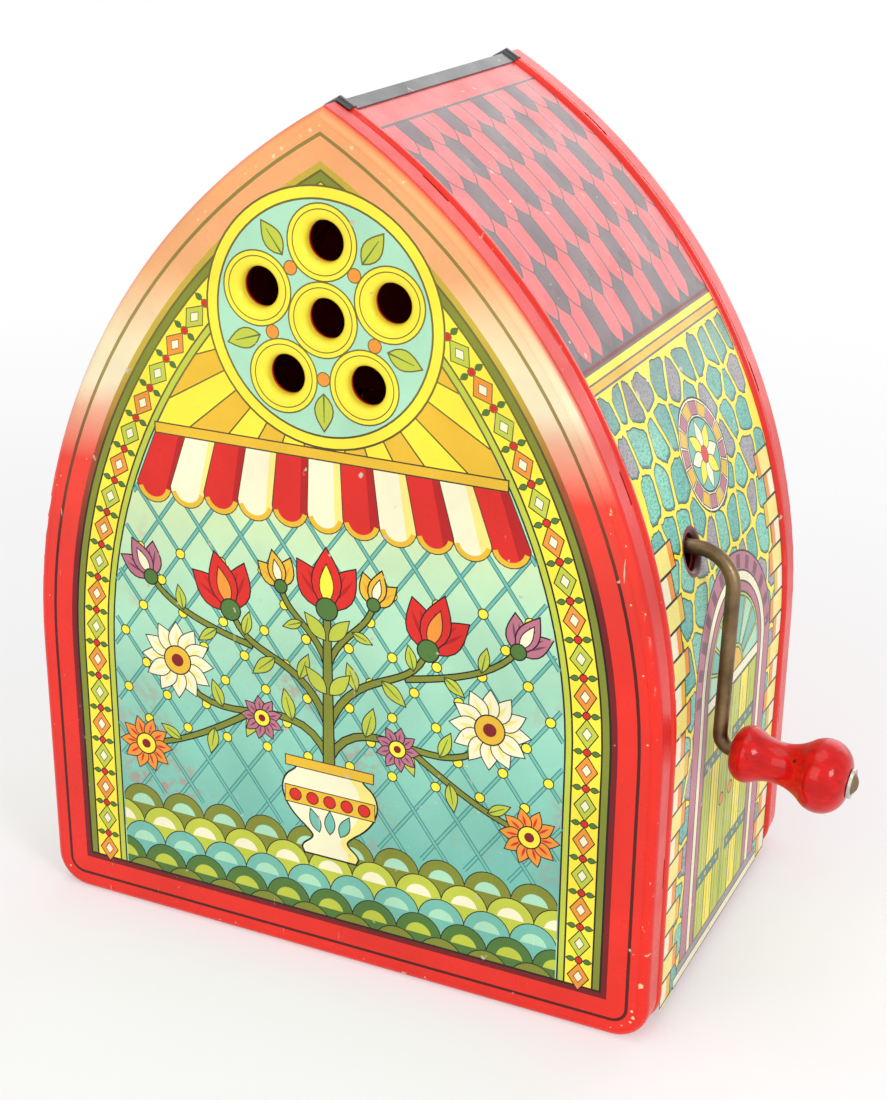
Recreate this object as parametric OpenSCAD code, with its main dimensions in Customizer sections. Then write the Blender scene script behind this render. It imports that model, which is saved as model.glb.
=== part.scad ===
// Hand-cranked tin music box shaped like a small building with a pointed-arch outline.
// Millimetres. The origin is the middle of the base on the standing surface, the front faces -Y,
// the crank is on the +X side and +Z is up.

/* [Case] */
// Width of the case over the flanges of its two end panels
case_w = 190; // [176:1:220]
// Height of the end panels from the standing surface to the apex
case_h = 241; // [228:1:265]
// Depth of the case from front face to back face
case_d = 122; // [118:1:150]
// Height at which the straight sides turn into the arch
spring_h = 80; // [64:1:92]
// Radius of the two bottom corners
corner_r = 10; // [7:0.5:14]
// Thickness of the tinplate
tin_t = 0.5; // [0.3:0.05:0.7]
// Outer radius of the bend between a panel's face and its flange
edge_r = 2.5; // [1.5:0.1:3]
// Depth of the flange that each panel folds back over the side sheets
flange_d = 8; // [6:0.5:12]
// Width of the bead pressed into each side sheet beside the flange
bead_w = 4; // [3:0.5:6]
// Height of that bead above the sheet
bead_h = 1.1; // [0.8:0.1:1.5]
// Length of the hem that each side sheet turns in under the base
hem_l = 10; // [6:0.5:14]
// Width of the ridge strip on each side of the apex, measured down the slope
ridge_w = 4; // [3:0.5:8]
// Places of the locking slits, measured up the side from the base
slit_at = [49, 156, 243]; // [30:1:255]
// Length of a locking slit
slit_l = 9; // [5:0.5:12]
// Width of a locking slit
slit_w = 1.2; // [0.8:0.1:2]

/* [Sound holes] */
// Height of the middle sound hole
rose_h = 188; // [160:0.5:192]
// Distance from the middle hole to the five round it
rose_r = 19.8; // [18:0.1:22]
// Radius of each opening
sound_r = 5.4; // [3.5:0.1:6]
// Radius of the rounded lip of a drawn hole
lip_r = 2.1; // [1:0.1:2.5]
// Depth to which a hole is drawn into the case
drawn_d = 4; // [3:0.1:7]

/* [Crank] */
// Diameter of the crank wire
wire_d = 4; // [3:0.1:5]
// Height of the crank axis
crank_h = 129.5; // [120:0.5:136]
// Distance of the crank axis behind the front face
crank_inset = 37.5; // [34:0.5:40]
// Distance from the crank axis to the axis of the grip
crank_throw = 54; // [40:1:75]
// Gap from the widest part of the case to the middle of the crank arm
arm_gap = 5; // [4:0.5:12]
// Middle radius of the bend at the top of the arm
upper_bend_r = 10; // [6:0.5:14]
// Middle radius of the bend beside the grip
lower_bend_r = 4; // [3:0.5:8]
// Forward lean of the hanging arm in degrees
arm_lean = 4; // [0:1:20]
// Radius of the drawn crank hole in the right side sheet
crank_hole_r = 4.8; // [4.2:0.1:7]
// Radius of the rounded lip of the crank hole
crank_lip_r = 1.3; // [0.8:0.1:2.2]
// Drop of the crank hole's middle below the crank axis
crank_hole_drop = 1.5; // [0:0.1:2]
// Depth of the drawn crank hole, less than a sound hole's so that the level wire clears its slanted wall
crank_drawn_d = 2.4; // [2.3:0.1:3]

/* [Grip] */
// Length of the turned wooden grip
grip_len = 31.5; // [28:0.5:36]
// Diameter of the bulb beside the arm
inner_bulb_d = 15.5; // [13:0.5:19]
// Diameter of the bulb at the free end
outer_bulb_d = 20; // [16:0.5:25]
// Radius of the hollow turned between the bulbs
waist_r = 12; // [8:0.5:16]
// Rounding of the shoulder beside the arm
inner_round = 4.5; // [4:0.5:6]
// Rounding of the shoulder at the free end
outer_round = 7; // [6:0.5:9]
// Diameter of the flat at each end of the grip
grip_flat_d = 9; // [8:0.5:12]
// Diameter of the washer at the free end
washer_d = 8; // [7.5:0.5:12]
// Thickness of that washer
washer_t = 0.8; // [0.5:0.1:1.5]

/* [Movement] */
// Module of the gear pair
gear_m = 1; // [0.9:0.02:1.06]
// Teeth of the pinion on the crank
pinion_teeth = 16; // [15:1:18]
// Teeth of the gear on the drum
drum_teeth = 48; // [44:1:50]
// Width of the drum gear
gear_w = 4; // [3:0.5:6]
// Radius of the pinned drum
drum_r = 17; // [14:0.5:18]
// Length of the pinned drum
drum_len = 84; // [60:1:90]
// Wall of the pinned drum
drum_t = 0.8; // [0.5:0.1:1.5]
// Height of a pin above the drum
pin_h = 1.2; // [0.8:0.1:1.6]
// Diameter of a pin
pin_d = 1; // [0.8:0.1:1.4]
// Pins on each track of the drum
pins_per_track = 4; // [2:1:6]
// Diameter of the drum's arbor
arbor_d = 5; // [4:0.1:6]
// Teeth of the steel comb
comb_teeth = 20; // [12:1:24]
// Length of the longest comb tooth
tooth_long = 18; // [15:0.5:19]
// Length of the shortest comb tooth
tooth_short = 12; // [9:0.5:14]
// Thickness of the comb
comb_t = 0.8; // [0.6:0.1:1.2]
// Depth of the comb rail and of the comb's back
rail_d = 10; // [8:0.5:11]
// Height of the comb rail
rail_t = 8; // [6:0.5:12]
// Thickness of the two bracket plates
plate_t = 1.5; // [1:0.1:2.5]
// Thickness of the wooden board under the brackets
board_t = 12; // [10:0.5:18]

/* [Hidden] */
$fn = 96;

// Clearances
seam_gap = 0.05;      // between two lapped sheets
run_gap = 0.06;       // radial, round a turning shaft or wire
press_gap = 0.02;     // radial, round a pressed or screwed piece
end_play = 0.3;       // along a shaft, at each end of a turning piece
pluck_gap = 0.3;      // between the pins' tips and the comb's tips
edge_gap = 0.3;       // where one sheet stops beside another

// Outline of the case: straight sides, two arcs that meet at the apex, rounded bottom corners.
// The arcs' centres are kept to a micron, so that straight and curved stretches meet exactly.
half_w = case_w / 2;
half_d = case_d / 2;
arch_rise = case_h - spring_h;
micron = 0.001;
arc_off = round((pow(arch_rise, 2) - pow(half_w, 2)) / case_w / micron) * micron;
arc_r = half_w + arc_off;
flat_half = half_w - corner_r;

// Side sheets lie inside the flanges, and the ridge strip lies on the side sheets
sheet_u = tin_t + seam_gap;
ridge_u = sheet_u - seam_gap - tin_t;
sheet_end = half_d - edge_r;
ridge_end = half_d - flange_d - edge_gap;
ridge_turn = acos(arc_off / (arc_r - ridge_u)) - ridge_w / arc_r * 180 / PI;
past_ridge = acos(arc_off / (arc_r + bead_h)) + 1;
bead_mid = half_d - flange_d - edge_gap - bead_w / 2;
bead_turn = 60;       // degrees of the bottom corner that the bead follows

// Base plate: a shallow tray that stands on the floor and laps the hems and flanges
tray_level = sheet_u + tin_t + seam_gap;
tray_half_x = flat_half - hem_l - 1;
tray_half_y = half_d - flange_d - 1.5;
tray_edge = half_d - edge_r - edge_gap;

// The movement fills the depth of the case. Its sizes above are for a case of this depth.
movement_for_d = 122;
depth_fit = case_d / movement_for_d;
tooth_m = gear_m * depth_fit;
barrel_r = drum_r * depth_fit;
long_tooth = tooth_long * depth_fit;
short_tooth = tooth_short * depth_fit;
rail_w = rail_d * depth_fit;
crank_in = crank_inset * depth_fit;

// Crank and drum axes
wire_r = wire_d / 2;
crank_y = crank_in - half_d;
pitch_pinion = pinion_teeth * tooth_m / 2;
pitch_drum = drum_teeth * tooth_m / 2;
gear_slack = 0.16;    // thinning of each tooth, so that the pair runs free
pressure_angle = 20;
addendum = 0.95;
dedendum = 1.25;
flank_steps = 4;
drum_y = crank_y + pitch_pinion + pitch_drum;
arbor_r = arbor_d / 2;

// Places along the shafts, from the drum outward
drum_shift = -2;
drum_x0 = drum_shift - drum_len / 2;
drum_x1 = drum_shift + drum_len / 2;
drum_gap = 6;         // free space between a drum end and what stands beside it
bush_flange_t = 1;
bush_out = 1.5;       // how far a bush stands out behind its plate
bush_r = 4.5;
bush_flange_r = 6.5;
gear_x0 = drum_x1 + drum_gap;
gear_x1 = gear_x0 + gear_w;
gear_hub_l = 8;
gear_hub_r = 5.5;
right_bush_x = gear_x1 + gear_hub_l + end_play;
right_plate_x = right_bush_x + bush_flange_t;
right_out_x = right_plate_x + plate_t + bush_out;
left_bush_x = drum_x0 - drum_gap;
left_plate_x = left_bush_x - bush_flange_t;
left_out_x = left_plate_x - plate_t - bush_out;
shaft_stick = 1;      // how far a shaft stands out of its last bush
drum_end_t = 1;
drum_hub_r = 5;
pinion_wide = 1;      // how far the pinion stands past the gear on each side
collar_r = 5;
collar_l = 5;
set_screw_r = 1.2;

// Crank arm and grip
arm_x = half_w + arm_gap;
pin_droop = acos(0.99712);      // the grip pin points down by this; its sine and cosine are short decimals
grip_x0 = end_play;             // along the pin, from the end of the lower bend
grip_x1 = grip_x0 + grip_len;
washer_x = grip_x1 + end_play;
peen_x = washer_x + washer_t;
peen_r = 2.9;
peen_h = 1.4;
crank_hole_tilt = asin((crank_h - crank_hole_drop - spring_h) / (arc_r - sheet_u));

// Brackets, rail and comb
board_z = tin_t;
foot_z = board_z + board_t;
foot_l = 14;
boss_r = 11;
leg_front = crank_y - boss_r;
comb_z = crank_h - comb_t / 2;
comb_tip_y = drum_y + barrel_r + pin_h + pluck_gap;
rail_y = comb_tip_y + long_tooth;
board_back = tray_half_y - tin_t - edge_gap;
leg_back = min(rail_y, board_back - edge_gap);
bracket_lip = 2;      // plate left round the rail's end
waist_share = 0.53;   // of the way from the foot up to the shafts
bracket_waist_z = foot_z + waist_share * (crank_h - foot_z);
bracket_mid = (leg_front + leg_back) / 2;
leg_w = 16;
window_r = (leg_back - leg_front) / 2 - leg_w;
track_pitch = drum_len / (comb_teeth + 1);
tooth_w = track_pitch * 0.72;
comb_half = drum_len / 2 - track_pitch / 2 + tooth_w / 2;
clamp_t = 1.5;
clamp_set = 1;        // how far the clamp lies inside the edges of the comb's back
board_over = 4;       // board left in front of the brackets and beside them

// Screws: shank radius, head radius and head height
wood_screw = [1.5, 3, 1.6];
wood_screw_l = 9;
rail_screw = [1, 2, 1.2];
rail_screw_l = 7;
rail_screw_step = 5;
comb_screw = [1.4, 2.6, 1.4];
comb_screw_in = 6;     // outer clamp screws, from the comb's ends
comb_screw_l = rail_t * 0.7 + comb_t + clamp_t;
foot_screw_y = [leg_front + leg_w / 2, leg_back - leg_w / 2];

red = [0.86, 0.18, 0.12];
roof_red = [0.8, 0.25, 0.2];
black = [0.1, 0.1, 0.1];
tin = [0.72, 0.72, 0.7];
steel = [0.6, 0.6, 0.62];
brass = [0.8, 0.65, 0.3];
wood = [0.75, 0.6, 0.4];
bronze = [0.42, 0.32, 0.22];
grip_red = [0.75, 0.08, 0.06];

// Stands a drawing up: its x stays, its y becomes height, its z comes forward
module stand() {
    rotate([90, 0, 0]) children();
}

// Lays a drawing's y along Y and z along Z at a place on the X axis
module face_x(x, length) {
    translate([x, 0, 0]) rotate([90, 0, 90]) linear_extrude(length) children();
}

// A round bar along X
module bar_x(r, x0, x1) {
    translate([x0, 0, 0]) rotate([0, 90, 0]) cylinder(r = r, h = x1 - x0);
}

module at_crank() {
    translate([0, crank_y, crank_h]) children();
}

module at_drum() {
    translate([0, drum_y, crank_h]) children();
}

// Sweeps of a section along the right half of the outline. In the section, x is the distance
// outside the outline and y is the depth.
module sweep_side() {
    translate([half_w, spring_h, 0]) rotate([90, 0, 0]) linear_extrude(spring_h - corner_r) children();
}

// The arc runs from an angle up to the ridge, and stops at a distance x from the middle plane
module sweep_arc(from, x) {
    intersection() {
        translate([-arc_off, spring_h, 0]) rotate([0, 0, from])
            rotate_extrude(angle = past_ridge - from) translate([arc_r, 0]) children();
        translate([x, 0, -case_d]) cube([case_w, 2 * case_h, 2 * case_d]);
    }
}

// The corner runs from an angle, in quarter turns, through a turn either way
module sweep_corner(from, turn) {
    translate([flat_half, corner_r, 0])
        rotate([0, 0, from]) rotate_extrude(angle = turn) translate([corner_r, 0]) children();
}

module sweep_bottom(x0, x1) {
    rotate([0, 0, -90]) translate([0, x1, 0]) rotate([90, 0, 0]) linear_extrude(x1 - x0) children();
}

module both_sides() {
    children();
    mirror([1, 0, 0]) children();
}

// The outline as a flat shape, drawn in by u
module outline(u) {
    intersection() {
        translate([-arc_off, spring_h]) circle(arc_r - u);
        translate([arc_off, spring_h]) circle(arc_r - u);
        translate([-half_w, spring_h]) square([case_w, case_h]);
    }
    translate([u - half_w, corner_r]) square([case_w - 2 * u, spring_h - corner_r]);
    translate([-flat_half, u]) square([2 * flat_half, corner_r - u]);
    both_sides() translate([flat_half, corner_r]) intersection() {
        circle(corner_r - u);
        translate([0, -corner_r]) square(corner_r);
    }
}

// Moves to a place on the right side, s up the outline from the base, with x outward
module up_side(s) {
    if (s < spring_h)
        translate([half_w, s, 0]) children();
    else
        translate([-arc_off, spring_h, 0])
            rotate([0, 0, (s - spring_h) / arc_r * 180 / PI]) translate([arc_r, 0, 0]) children();
}

// The locking slits, where the flange ends and the side sheet's bead begins
module slits(depth) {
    reach = 2 * (sheet_u + tin_t + bead_h);
    both_sides() for (s = slit_at)
        up_side(s) translate([0, 0, depth]) cube([reach, slit_l, slit_w], center = true);
}

// Section of a panel's rounded edge and flange, with its face at y = 0
module flange_section() {
    translate([-edge_r, -edge_r]) intersection() {
        difference() {
            circle(edge_r);
            circle(edge_r - tin_t);
        }
        square(edge_r);
    }
    translate([-tin_t, -flange_d]) square([tin_t, flange_d - edge_r]);
}

// A hole drawn inward from a sheet whose outer face is at z = 0
module drawn_collar(r, lip, depth) {
    rotate_extrude() {
        translate([r + lip, -lip]) intersection() {
            difference() {
                circle(lip);
                circle(lip - tin_t);
            }
            translate([-lip, 0]) square(lip);
        }
        translate([r, -depth]) square([tin_t, depth - lip]);
    }
}

// An end panel with its face at z = half_d, and its flange folded back
module panel_shell() {
    translate([0, 0, half_d - tin_t]) linear_extrude(tin_t) children();
    difference() {
        translate([0, 0, half_d]) {
            both_sides() {
                sweep_side() flange_section();
                sweep_arc(0, 0) flange_section();
                sweep_corner(0, -90) flange_section();
            }
            sweep_bottom(-flat_half, flat_half) flange_section();
        }
        slits(half_d - flange_d);
    }
}

module rose_places() {
    translate([0, rose_h]) children();
    for (i = [0:4])
        translate([0, rose_h]) rotate(90 + i * 72) translate([rose_r, 0]) children();
}

module front_panel() {
    color(red) stand() {
        panel_shell() difference() {
            outline(edge_r);
            rose_places() circle(sound_r + lip_r);
        }
        translate([0, 0, half_d]) rose_places() drawn_collar(sound_r, lip_r, drawn_d);
    }
}

module back_panel() {
    color(red) rotate([0, 0, 180]) stand() panel_shell() outline(edge_r);
}

// Section of a rolled sheet, u inside the outline, with a bead near each end that laps the flat.
// A sheet that lies over the side sheets has a bead that goes round theirs.
module beaded_section(u, end) {
    over = sheet_u - u;
    bead_r = (pow(bead_w / 2, 2) + pow(bead_h, 2)) / (2 * bead_h) + over;
    half_bead = sqrt(pow(bead_r, 2) - pow(bead_r - bead_h, 2));
    lap = tin_t * 0.3;
    inner_edge = bead_mid - half_bead + lap;
    outer_edge = bead_mid + half_bead - lap;
    reach = min(bead_w, end - bead_mid);
    translate([-u - tin_t, -inner_edge]) square([tin_t, 2 * inner_edge]);
    for (side = [-1, 1]) {
        translate([-u, side * bead_mid]) intersection() {
            translate([bead_h - bead_r, 0]) difference() {
                circle(bead_r);
                circle(bead_r - tin_t);
            }
            translate([-tin_t, side > 0 ? -bead_w : -reach]) square([2 * bead_h + tin_t, bead_w + reach]);
        }
        if (end > outer_edge + lap)
            translate([-u - tin_t, side > 0 ? outer_edge : -end]) square([tin_t, end - outer_edge]);
    }
}

module plain_section(u, end) {
    translate([-u - tin_t, -end]) square([tin_t, 2 * end]);
}

// A side sheet: hem under the base, rounded corner, straight side and arched roof
module side_sheet() {
    difference() {
        union() {
            sweep_bottom(flat_half - hem_l, flat_half) plain_section(sheet_u, sheet_end);
            sweep_corner(-90, 90 - bead_turn) plain_section(sheet_u, sheet_end);
            sweep_corner(0, -bead_turn) beaded_section(sheet_u, sheet_end);
            sweep_side() beaded_section(sheet_u, sheet_end);
            sweep_arc(0, edge_gap) beaded_section(sheet_u, sheet_end);
        }
        slits(half_d - flange_d);
        slits(flange_d - half_d);
    }
}

// Moves to the middle of the crank hole, with z out of the right side sheet
module at_crank_hole() {
    translate([-arc_off, spring_h, -crank_y])
        rotate([0, 0, crank_hole_tilt]) translate([arc_r - sheet_u, 0, 0]) rotate([0, 90, 0]) children();
}

module right_side_sheet() {
    color(roof_red) stand() {
        difference() {
            side_sheet();
            at_crank_hole() cylinder(r = crank_hole_r + crank_lip_r, h = 4 * tin_t, center = true);
        }
        at_crank_hole() drawn_collar(crank_hole_r, crank_lip_r, crank_drawn_d);
    }
}

module left_side_sheet() {
    color(roof_red) mirror([1, 0, 0]) stand() side_sheet();
}

// The strip folded over the ridge, riding up over the beads
module ridge_cap() {
    color(black) stand() both_sides() sweep_arc(ridge_turn, 0) beaded_section(ridge_u, ridge_end);
}

module rectangle(half_x, half_y) {
    square([2 * half_x, 2 * half_y], center = true);
}

module base_plate() {
    color(tin) {
        linear_extrude(tin_t) rectangle(tray_half_x, tray_half_y);
        linear_extrude(tray_level + tin_t) difference() {
            rectangle(tray_half_x, tray_half_y);
            rectangle(tray_half_x - tin_t, tray_half_y - tin_t);
        }
        translate([0, 0, tray_level]) linear_extrude(tin_t) difference() {
            rectangle(flat_half, tray_edge);
            rectangle(tray_half_x - tin_t, tray_half_y - tin_t);
        }
    }
}

// A round-headed screw with its seat at z = 0 and its shank below
module screw(size, length) {
    slot_w = size[1] / 4;
    translate([0, 0, -length]) cylinder(r = size[0], h = length);
    difference() {
        intersection() {
            cylinder(r = size[1], h = size[2]);
            translate([0, 0, size[2] - 2 * size[1]]) sphere(2 * size[1]);
        }
        translate([0, 0, size[2]]) cube([3 * size[1], slot_w, size[2]], center = true);
    }
}

module screw_hole(size, length) {
    translate([0, 0, -length]) cylinder(r = size[0] + press_gap, h = 2 * length);
}

// Places of the four foot screws, on top of the brackets' feet
module foot_screw_places() {
    foot_mid = foot_l / 2;
    for (x = [right_plate_x - foot_mid, left_plate_x + foot_mid], y = foot_screw_y)
        translate([x, y, foot_z + plate_t]) children();
}

module base_board() {
    x0 = left_plate_x - plate_t - board_over;
    x1 = right_plate_x + plate_t + board_over;
    color(wood) difference() {
        translate([x0, leg_front - board_over, board_z])
            cube([x1 - x0, board_back - leg_front + board_over, board_t]);
        foot_screw_places() screw_hole(wood_screw, wood_screw_l);
    }
}

// A stamped plate on two legs, with bosses for the two shafts and an arm for the rail
module bracket_shape() {
    rail_back = rail_y + rail_w + bracket_lip;
    arm_low = comb_z - rail_t - bracket_lip;
    difference() {
        union() {
            polygon([
                [leg_front, foot_z], [leg_back, foot_z], [leg_back, bracket_waist_z], [rail_back, arm_low],
                [rail_back, comb_z], [drum_y, crank_h + boss_r], [crank_y, crank_h + boss_r],
                [leg_front, crank_h]
            ]);
            translate([crank_y, crank_h]) circle(boss_r);
            translate([drum_y, crank_h]) circle(boss_r);
        }
        translate([bracket_mid - window_r, foot_z - 1]) square([2 * window_r, bracket_waist_z - foot_z]);
        translate([bracket_mid, bracket_waist_z - 1]) circle(window_r);
        translate([crank_y, crank_h]) circle(bush_r + press_gap);
        translate([drum_y, crank_h]) circle(bush_r + press_gap);
        rail_screw_places_flat() circle(rail_screw[0] + press_gap);
    }
}

// Places of the screws that hold the rail: in the plane of a bracket, and on its outer face
module rail_screw_places_flat() {
    for (side = [-1, 1])
        translate([rail_y + rail_w / 2 + side * rail_screw_step / 2, comb_z - rail_t / 2]) children();
}

module rail_screw_places() {
    translate([right_plate_x + plate_t, 0, 0])
        rotate([90, 0, 90]) rail_screw_places_flat() children();
    translate([left_plate_x - plate_t, 0, 0])
        mirror([1, 0, 0]) rotate([90, 0, 90]) rail_screw_places_flat() children();
}

// A bracket's two feet, bent inward from its legs. They run from x0 to x0 + foot_l.
module bracket_feet(x0) {
    for (y = [leg_front, leg_back - leg_w])
        translate([x0, y, foot_z]) cube([foot_l, leg_w, plate_t]);
}

module bracket(plate_x, foot_x) {
    difference() {
        union() {
            face_x(plate_x, plate_t) bracket_shape();
            bracket_feet(foot_x);
        }
        foot_screw_places() screw_hole(wood_screw, wood_screw_l);
    }
}

module right_bracket() {
    color(steel) bracket(right_plate_x, right_plate_x - foot_l);
}

module left_bracket() {
    color(steel) bracket(left_plate_x - plate_t, left_plate_x);
}

module bracket_screws() {
    color(brass) foot_screw_places() screw(wood_screw, wood_screw_l);
}

// A flanged bush along +X, with its flange's face at x = 0
module bush(shaft_r) {
    length = bush_flange_t + plate_t + bush_out;
    rotate([0, 90, 0]) difference() {
        union() {
            cylinder(r = bush_r, h = length);
            cylinder(r = bush_flange_r, h = bush_flange_t);
        }
        translate([0, 0, -1]) cylinder(r = shaft_r + run_gap, h = length + 2);
    }
}

module right_bush(shaft_r) {
    color(brass) translate([right_bush_x, 0, 0]) bush(shaft_r);
}

module left_bush(shaft_r) {
    color(brass) translate([left_bush_x, 0, 0]) mirror([1, 0, 0]) bush(shaft_r);
}

module right_crank_bush() {
    at_crank() right_bush(wire_r);
}

module left_crank_bush() {
    at_crank() left_bush(wire_r);
}

module right_drum_bush() {
    at_drum() right_bush(arbor_r);
}

module left_drum_bush() {
    at_drum() left_bush(arbor_r);
}

// Places of the screws through the clamp, on its top face
module comb_screw_places() {
    spread = comb_half - comb_screw_in;
    for (i = [-1:1])
        translate([drum_shift + i * spread, rail_y + rail_w / 2, comb_z + comb_t + clamp_t]) children();
}

module comb_rail() {
    color(steel) difference() {
        translate([left_plate_x, rail_y, comb_z - rail_t])
            cube([right_plate_x - left_plate_x, rail_w, rail_t]);
        comb_screw_places() screw_hole(comb_screw, comb_screw_l);
        rail_screw_places() screw_hole(rail_screw, rail_screw_l);
    }
}

module rail_screws() {
    color(brass) rail_screw_places() screw(rail_screw, rail_screw_l);
}

function track_x(i) = drum_x0 + (i + 1) * track_pitch;

// Steel comb with graduated teeth, whose tips stand just clear of the pins
module comb() {
    color(steel) difference() {
        translate([0, 0, comb_z]) linear_extrude(comb_t) {
            translate([drum_shift - comb_half, rail_y]) square([2 * comb_half, rail_w]);
            polygon([
                [drum_shift - comb_half, rail_y], [drum_shift + comb_half, comb_tip_y + short_tooth],
                [drum_shift + comb_half, rail_y]
            ]);
            for (i = [0:comb_teeth - 1])
                translate([track_x(i) - tooth_w / 2, comb_tip_y]) square([tooth_w, long_tooth + rail_w / 2]);
        }
        comb_screw_places() screw_hole(comb_screw, comb_screw_l);
    }
}

module comb_clamp() {
    color(brass) difference() {
        translate([drum_shift - comb_half, rail_y + clamp_set, comb_z + comb_t])
            cube([2 * comb_half, rail_w - 2 * clamp_set, clamp_t]);
        comb_screw_places() screw_hole(comb_screw, comb_screw_l);
    }
}

module comb_screws() {
    color(steel) comb_screw_places() screw(comb_screw, comb_screw_l);
}

// The crank's own frame: the axis at the origin, the arm hanging down and leaning forward
module crank_frame() {
    at_crank() rotate([-arm_lean, 0, 0]) children();
}

module quarter_bend(r, from) {
    rotate([90, 0, 0]) rotate([0, 0, from]) rotate_extrude(angle = 90) translate([r, 0]) circle(wire_r);
}

// The middle of the lower bend, and the pin's own frame with x along the pin from the end of that bend
module at_lower_bend() {
    crank_frame() translate([arm_x + lower_bend_r, 0, lower_bend_r - crank_throw]) children();
}

module pin_frame() {
    at_lower_bend() rotate([0, pin_droop, 0]) translate([0, 0, -lower_bend_r]) children();
}

module lower_bend() {
    room = 2 * (lower_bend_r + wire_d);
    intersection() {
        quarter_bend(lower_bend_r, 180);
        rotate([0, pin_droop, 0]) translate([-room, -room / 2, -room / 2]) cube(room);
    }
}

// One length of wire: shaft, upper bend, arm, lower bend, grip pin and peened end
module crank_wire() {
    dome_r = (pow(peen_r, 2) + pow(peen_h, 2)) / (2 * peen_h);
    color(bronze) {
        crank_frame() {
            bar_x(wire_r, left_out_x - shaft_stick, arm_x - upper_bend_r);
            translate([arm_x - upper_bend_r, 0, -upper_bend_r]) quarter_bend(upper_bend_r, 0);
            translate([arm_x, 0, lower_bend_r - crank_throw])
                cylinder(r = wire_r, h = crank_throw - lower_bend_r - upper_bend_r);
        }
        at_lower_bend() lower_bend();
        pin_frame() {
            bar_x(wire_r, 0, peen_x);
            intersection() {
                bar_x(peen_r, peen_x, peen_x + peen_h);
                translate([peen_x + peen_h - dome_r, 0, 0]) sphere(dome_r);
            }
        }
    }
}

module crank_collar() {
    x0 = right_out_x + end_play;
    color(steel) at_crank() difference() {
        bar_x(collar_r, x0, x0 + collar_l);
        bar_x(wire_r + press_gap, x0 - 1, x0 + collar_l + 1);
        translate([x0 + collar_l / 2, 0, 0]) cylinder(r = set_screw_r + press_gap, h = 2 * collar_r);
    }
}

module collar_screw() {
    seat = wire_r + press_gap;
    slot_w = set_screw_r / 2;
    color(steel) at_crank() translate([right_out_x + end_play + collar_l / 2, 0, 0]) difference() {
        translate([0, 0, seat]) cylinder(r = set_screw_r, h = collar_r - seat);
        translate([0, 0, collar_r]) cube([3 * set_screw_r, slot_w, slot_w], center = true);
    }
}

module grip_washer() {
    color(steel) pin_frame() difference() {
        bar_x(washer_d / 2, washer_x, washer_x + washer_t);
        bar_x(wire_r + press_gap, washer_x - 1, washer_x + washer_t + 1);
    }
}

// Half section of the turned grip: two round shoulders joined by a hollow that is tangent to both
module grip_section() {
    x1 = inner_bulb_d / 2 - inner_round;
    x2 = outer_bulb_d / 2 - outer_round;
    inner = [x1, sqrt(pow(inner_round, 2) - pow(grip_flat_d / 2 - x1, 2))];
    outer = [x2, grip_len - sqrt(pow(outer_round, 2) - pow(grip_flat_d / 2 - x2, 2))];
    span = norm(outer - inner);
    up = (outer - inner) / span;
    out = [up[1], -up[0]];
    reach_1 = inner_round + waist_r;
    reach_2 = outer_round + waist_r;
    rise = (pow(span, 2) + pow(reach_1, 2) - pow(reach_2, 2)) / (2 * span);
    hollow = inner + rise * up + sqrt(pow(reach_1, 2) - pow(rise, 2)) * out;
    touch_1 = inner + (hollow - inner) * inner_round / reach_1;
    touch_2 = outer + (hollow - outer) * outer_round / reach_2;
    bore_r = wire_r + run_gap;
    intersection() {
        translate([bore_r, 0]) square([outer_bulb_d, grip_len]);
        difference() {
            union() {
                translate(inner) circle(inner_round);
                translate(outer) circle(outer_round);
                polygon([[0, 0], [x1, 0], inner, touch_1, touch_2, outer, [x2, grip_len], [0, grip_len]]);
            }
            translate(hollow) circle(waist_r);
        }
    }
}

module crank_grip() {
    color(grip_red) pin_frame() translate([grip_x0, 0, 0])
        rotate([0, 90, 0]) rotate_extrude() grip_section();
}

// Involute tooth form, with angles in degrees
function involute(a) = tan(a) * 180 / PI - a;

function flank(r, teeth, m) =
    let (pitch_r = teeth * m / 2, base_r = pitch_r * cos(pressure_angle), a = acos(min(1, base_r / r)))
    90 / teeth - gear_slack * 90 / (PI * pitch_r) + involute(pressure_angle) - involute(a);

function flank_radii(teeth, m) =
    let (
        pitch_r = teeth * m / 2,
        root_r = pitch_r - dedendum * m,
        base_r = pitch_r * cos(pressure_angle),
        start_r = max(root_r, base_r),
        tip_r = pitch_r + addendum * m
    )
    concat(
        base_r > root_r ? [root_r] : [],
        [for (k = [0:flank_steps]) start_r + (tip_r - start_r) * k / flank_steps]
    );

function polar(r, a) = [r * cos(a), r * sin(a)];

module gear_shape(teeth, m) {
    radii = flank_radii(teeth, m);
    last = len(radii) - 1;
    polygon([
        for (i = [0:teeth - 1]) each concat(
            [for (r = radii) polar(r, i * 360 / teeth - flank(r, teeth, m))],
            [for (k = [last:-1:0]) polar(radii[k], i * 360 / teeth + flank(radii[k], teeth, m))]
        )
    ]);
}

// The pinion has a gap, and the drum gear a tooth, on the line between their axes
module crank_pinion() {
    x0 = gear_x0 - pinion_wide;
    x1 = gear_x1 + pinion_wide;
    color(brass) at_crank() difference() {
        union() {
            face_x(x0, x1 - x0) rotate(180 / pinion_teeth) gear_shape(pinion_teeth, tooth_m);
            bar_x(gear_hub_r, x1, right_bush_x - end_play);
        }
        bar_x(wire_r + press_gap, x0 - 1, right_bush_x);
    }
}

module drum_gear() {
    color(brass) at_drum() difference() {
        union() {
            face_x(gear_x0, gear_w) rotate(180) gear_shape(drum_teeth, tooth_m);
            bar_x(gear_hub_r, gear_x1, gear_x1 + gear_hub_l);
        }
        bar_x(arbor_r + press_gap, gear_x0 - 1, right_bush_x);
    }
}

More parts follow.
